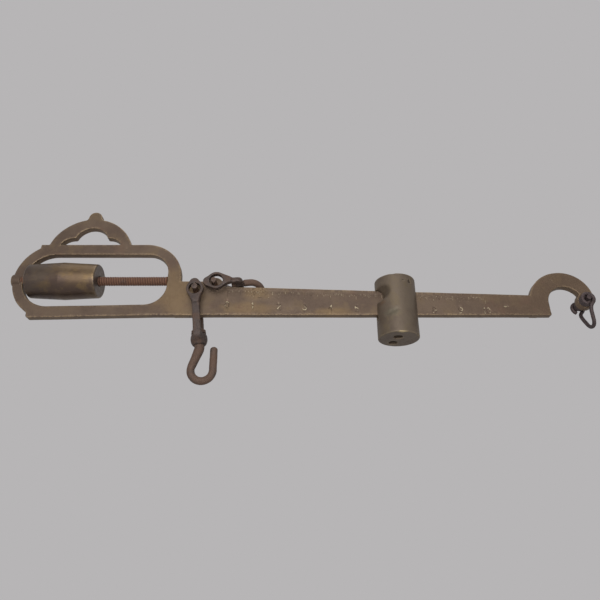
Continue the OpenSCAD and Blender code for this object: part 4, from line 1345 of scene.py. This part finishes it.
def studio():
    """Camera at the photograph's angle, one floor, three soft lamps and an even pale world."""
    aim, away, dip = Vector((0.0887, 0, -0.0157)), 0.581, math.radians(26)
    camera = bpy.data.objects.new("camera", bpy.data.cameras.new("camera"))
    camera.data.lens, camera.data.sensor_width = 33.6, 36
    camera.location = aim + away * Vector((0, -math.cos(dip), -math.sin(dip)))
    camera.rotation_euler = (aim - camera.location).to_track_quat("-Z", "Y").to_euler()
    scene.collection.objects.link(camera)
    scene.camera = camera
    for name, spot, power, size in (("front_lamp", (-0.06, -1.5, 0.0), 9.2, 1.1),
                                    ("low_lamp", (0.13, -0.7, -0.36), 4.2, 0.8),
                                    ("top_lamp", (0.05, -0.25, 1.3), 5.5, 1.2)):
        lamp = bpy.data.objects.new(name, bpy.data.lights.new(name, "AREA"))
        lamp.data.energy, lamp.data.size = power, size
        lamp.location = spot
        lamp.rotation_euler = (Vector((0.08, 0, 0)) - lamp.location).to_track_quat("-Z", "Y").to_euler()
        scene.collection.objects.link(lamp)
    world = bpy.data.worlds.new("pale_room")
    world.use_nodes = True
    world.node_tree.nodes.clear()
    nodes = Nodes(world.node_tree)
    path = world.node_tree.nodes.new("ShaderNodeLightPath").outputs
    seen = nodes.math("MAXIMUM", path["Is Camera Ray"],
                      nodes.math("MAXIMUM", path["Is Glossy Ray"], path["Is Transmission Ray"]))
    even = nodes.add("ShaderNodeBackground", {"Color": paint(235, 236, 240), "Strength": 0.5})
    shown = nodes.add("ShaderNodeBackground", {"Color": paint(183, 181, 182), "Strength": 1.0})
    nodes.add("ShaderNodeOutputWorld", {"Surface": nodes.add("ShaderNodeMixShader",
                                                             {0: seen, 1: even, 2: shown})})
    scene.world = world
    floor_mesh = bpy.data.meshes.new("floor")
    half, level = 1.2, -0.36
    floor_mesh.from_pydata([(-half, -half, level), (half, -half, level), (half, half, level),
                            (-half, half, level)], [], [(0, 1, 2, 3)])
    floor = bpy.data.objects.new("floor", floor_mesh)
    scene.collection.objects.link(floor)
    material = bpy.data.materials.new("pale_floor")
    material.use_nodes = True
    shader = material.node_tree.nodes["Principled BSDF"]
    shader.inputs["Base Color"].default_value = paint(214, 212, 212)
    shader.inputs["Roughness"].default_value = 0.9
    floor_mesh.materials.append(material)
    scene.view_settings.view_transform = "Standard"


casting()
screw()
counterbalance()
knife_pin("fulcrum_knife", "fulcrum_pivot", 2.85, 4.15, False, PIN_IRON)
knife_pin("load_knife", "load_pivot", 3.15, 4.25, True, PIN_IRON)
knife_pin("tip_knife", "tip_pivot", 2.25, 2.95, True, LINK_IRON)
collar("front_collar", "tip_collar_front", -1)
collar("back_collar", "tip_collar_back", 1)
fulcrum_hanger()
hanger_hook()
washer("hanger_hook_washer", "hanger_washer", "hanger", AT_HANGER, 4.7, 2.9, -21.95)
load_clevis()
load_hook()
washer("load_hook_washer", "load_washer", "clevis", AT_LOAD, 7.6, 3.9, -46.95)
tip_link()
poise()
lead_plug("front_lead", "poise_lead_front")
lead_plug("back_lead", "poise_lead_back")
frame["nodes"]["counterbalance_core"].data.materials.clear()
frame["nodes"]["counterbalance_core"].data.materials.append(TURNED_BRASS)
studio()
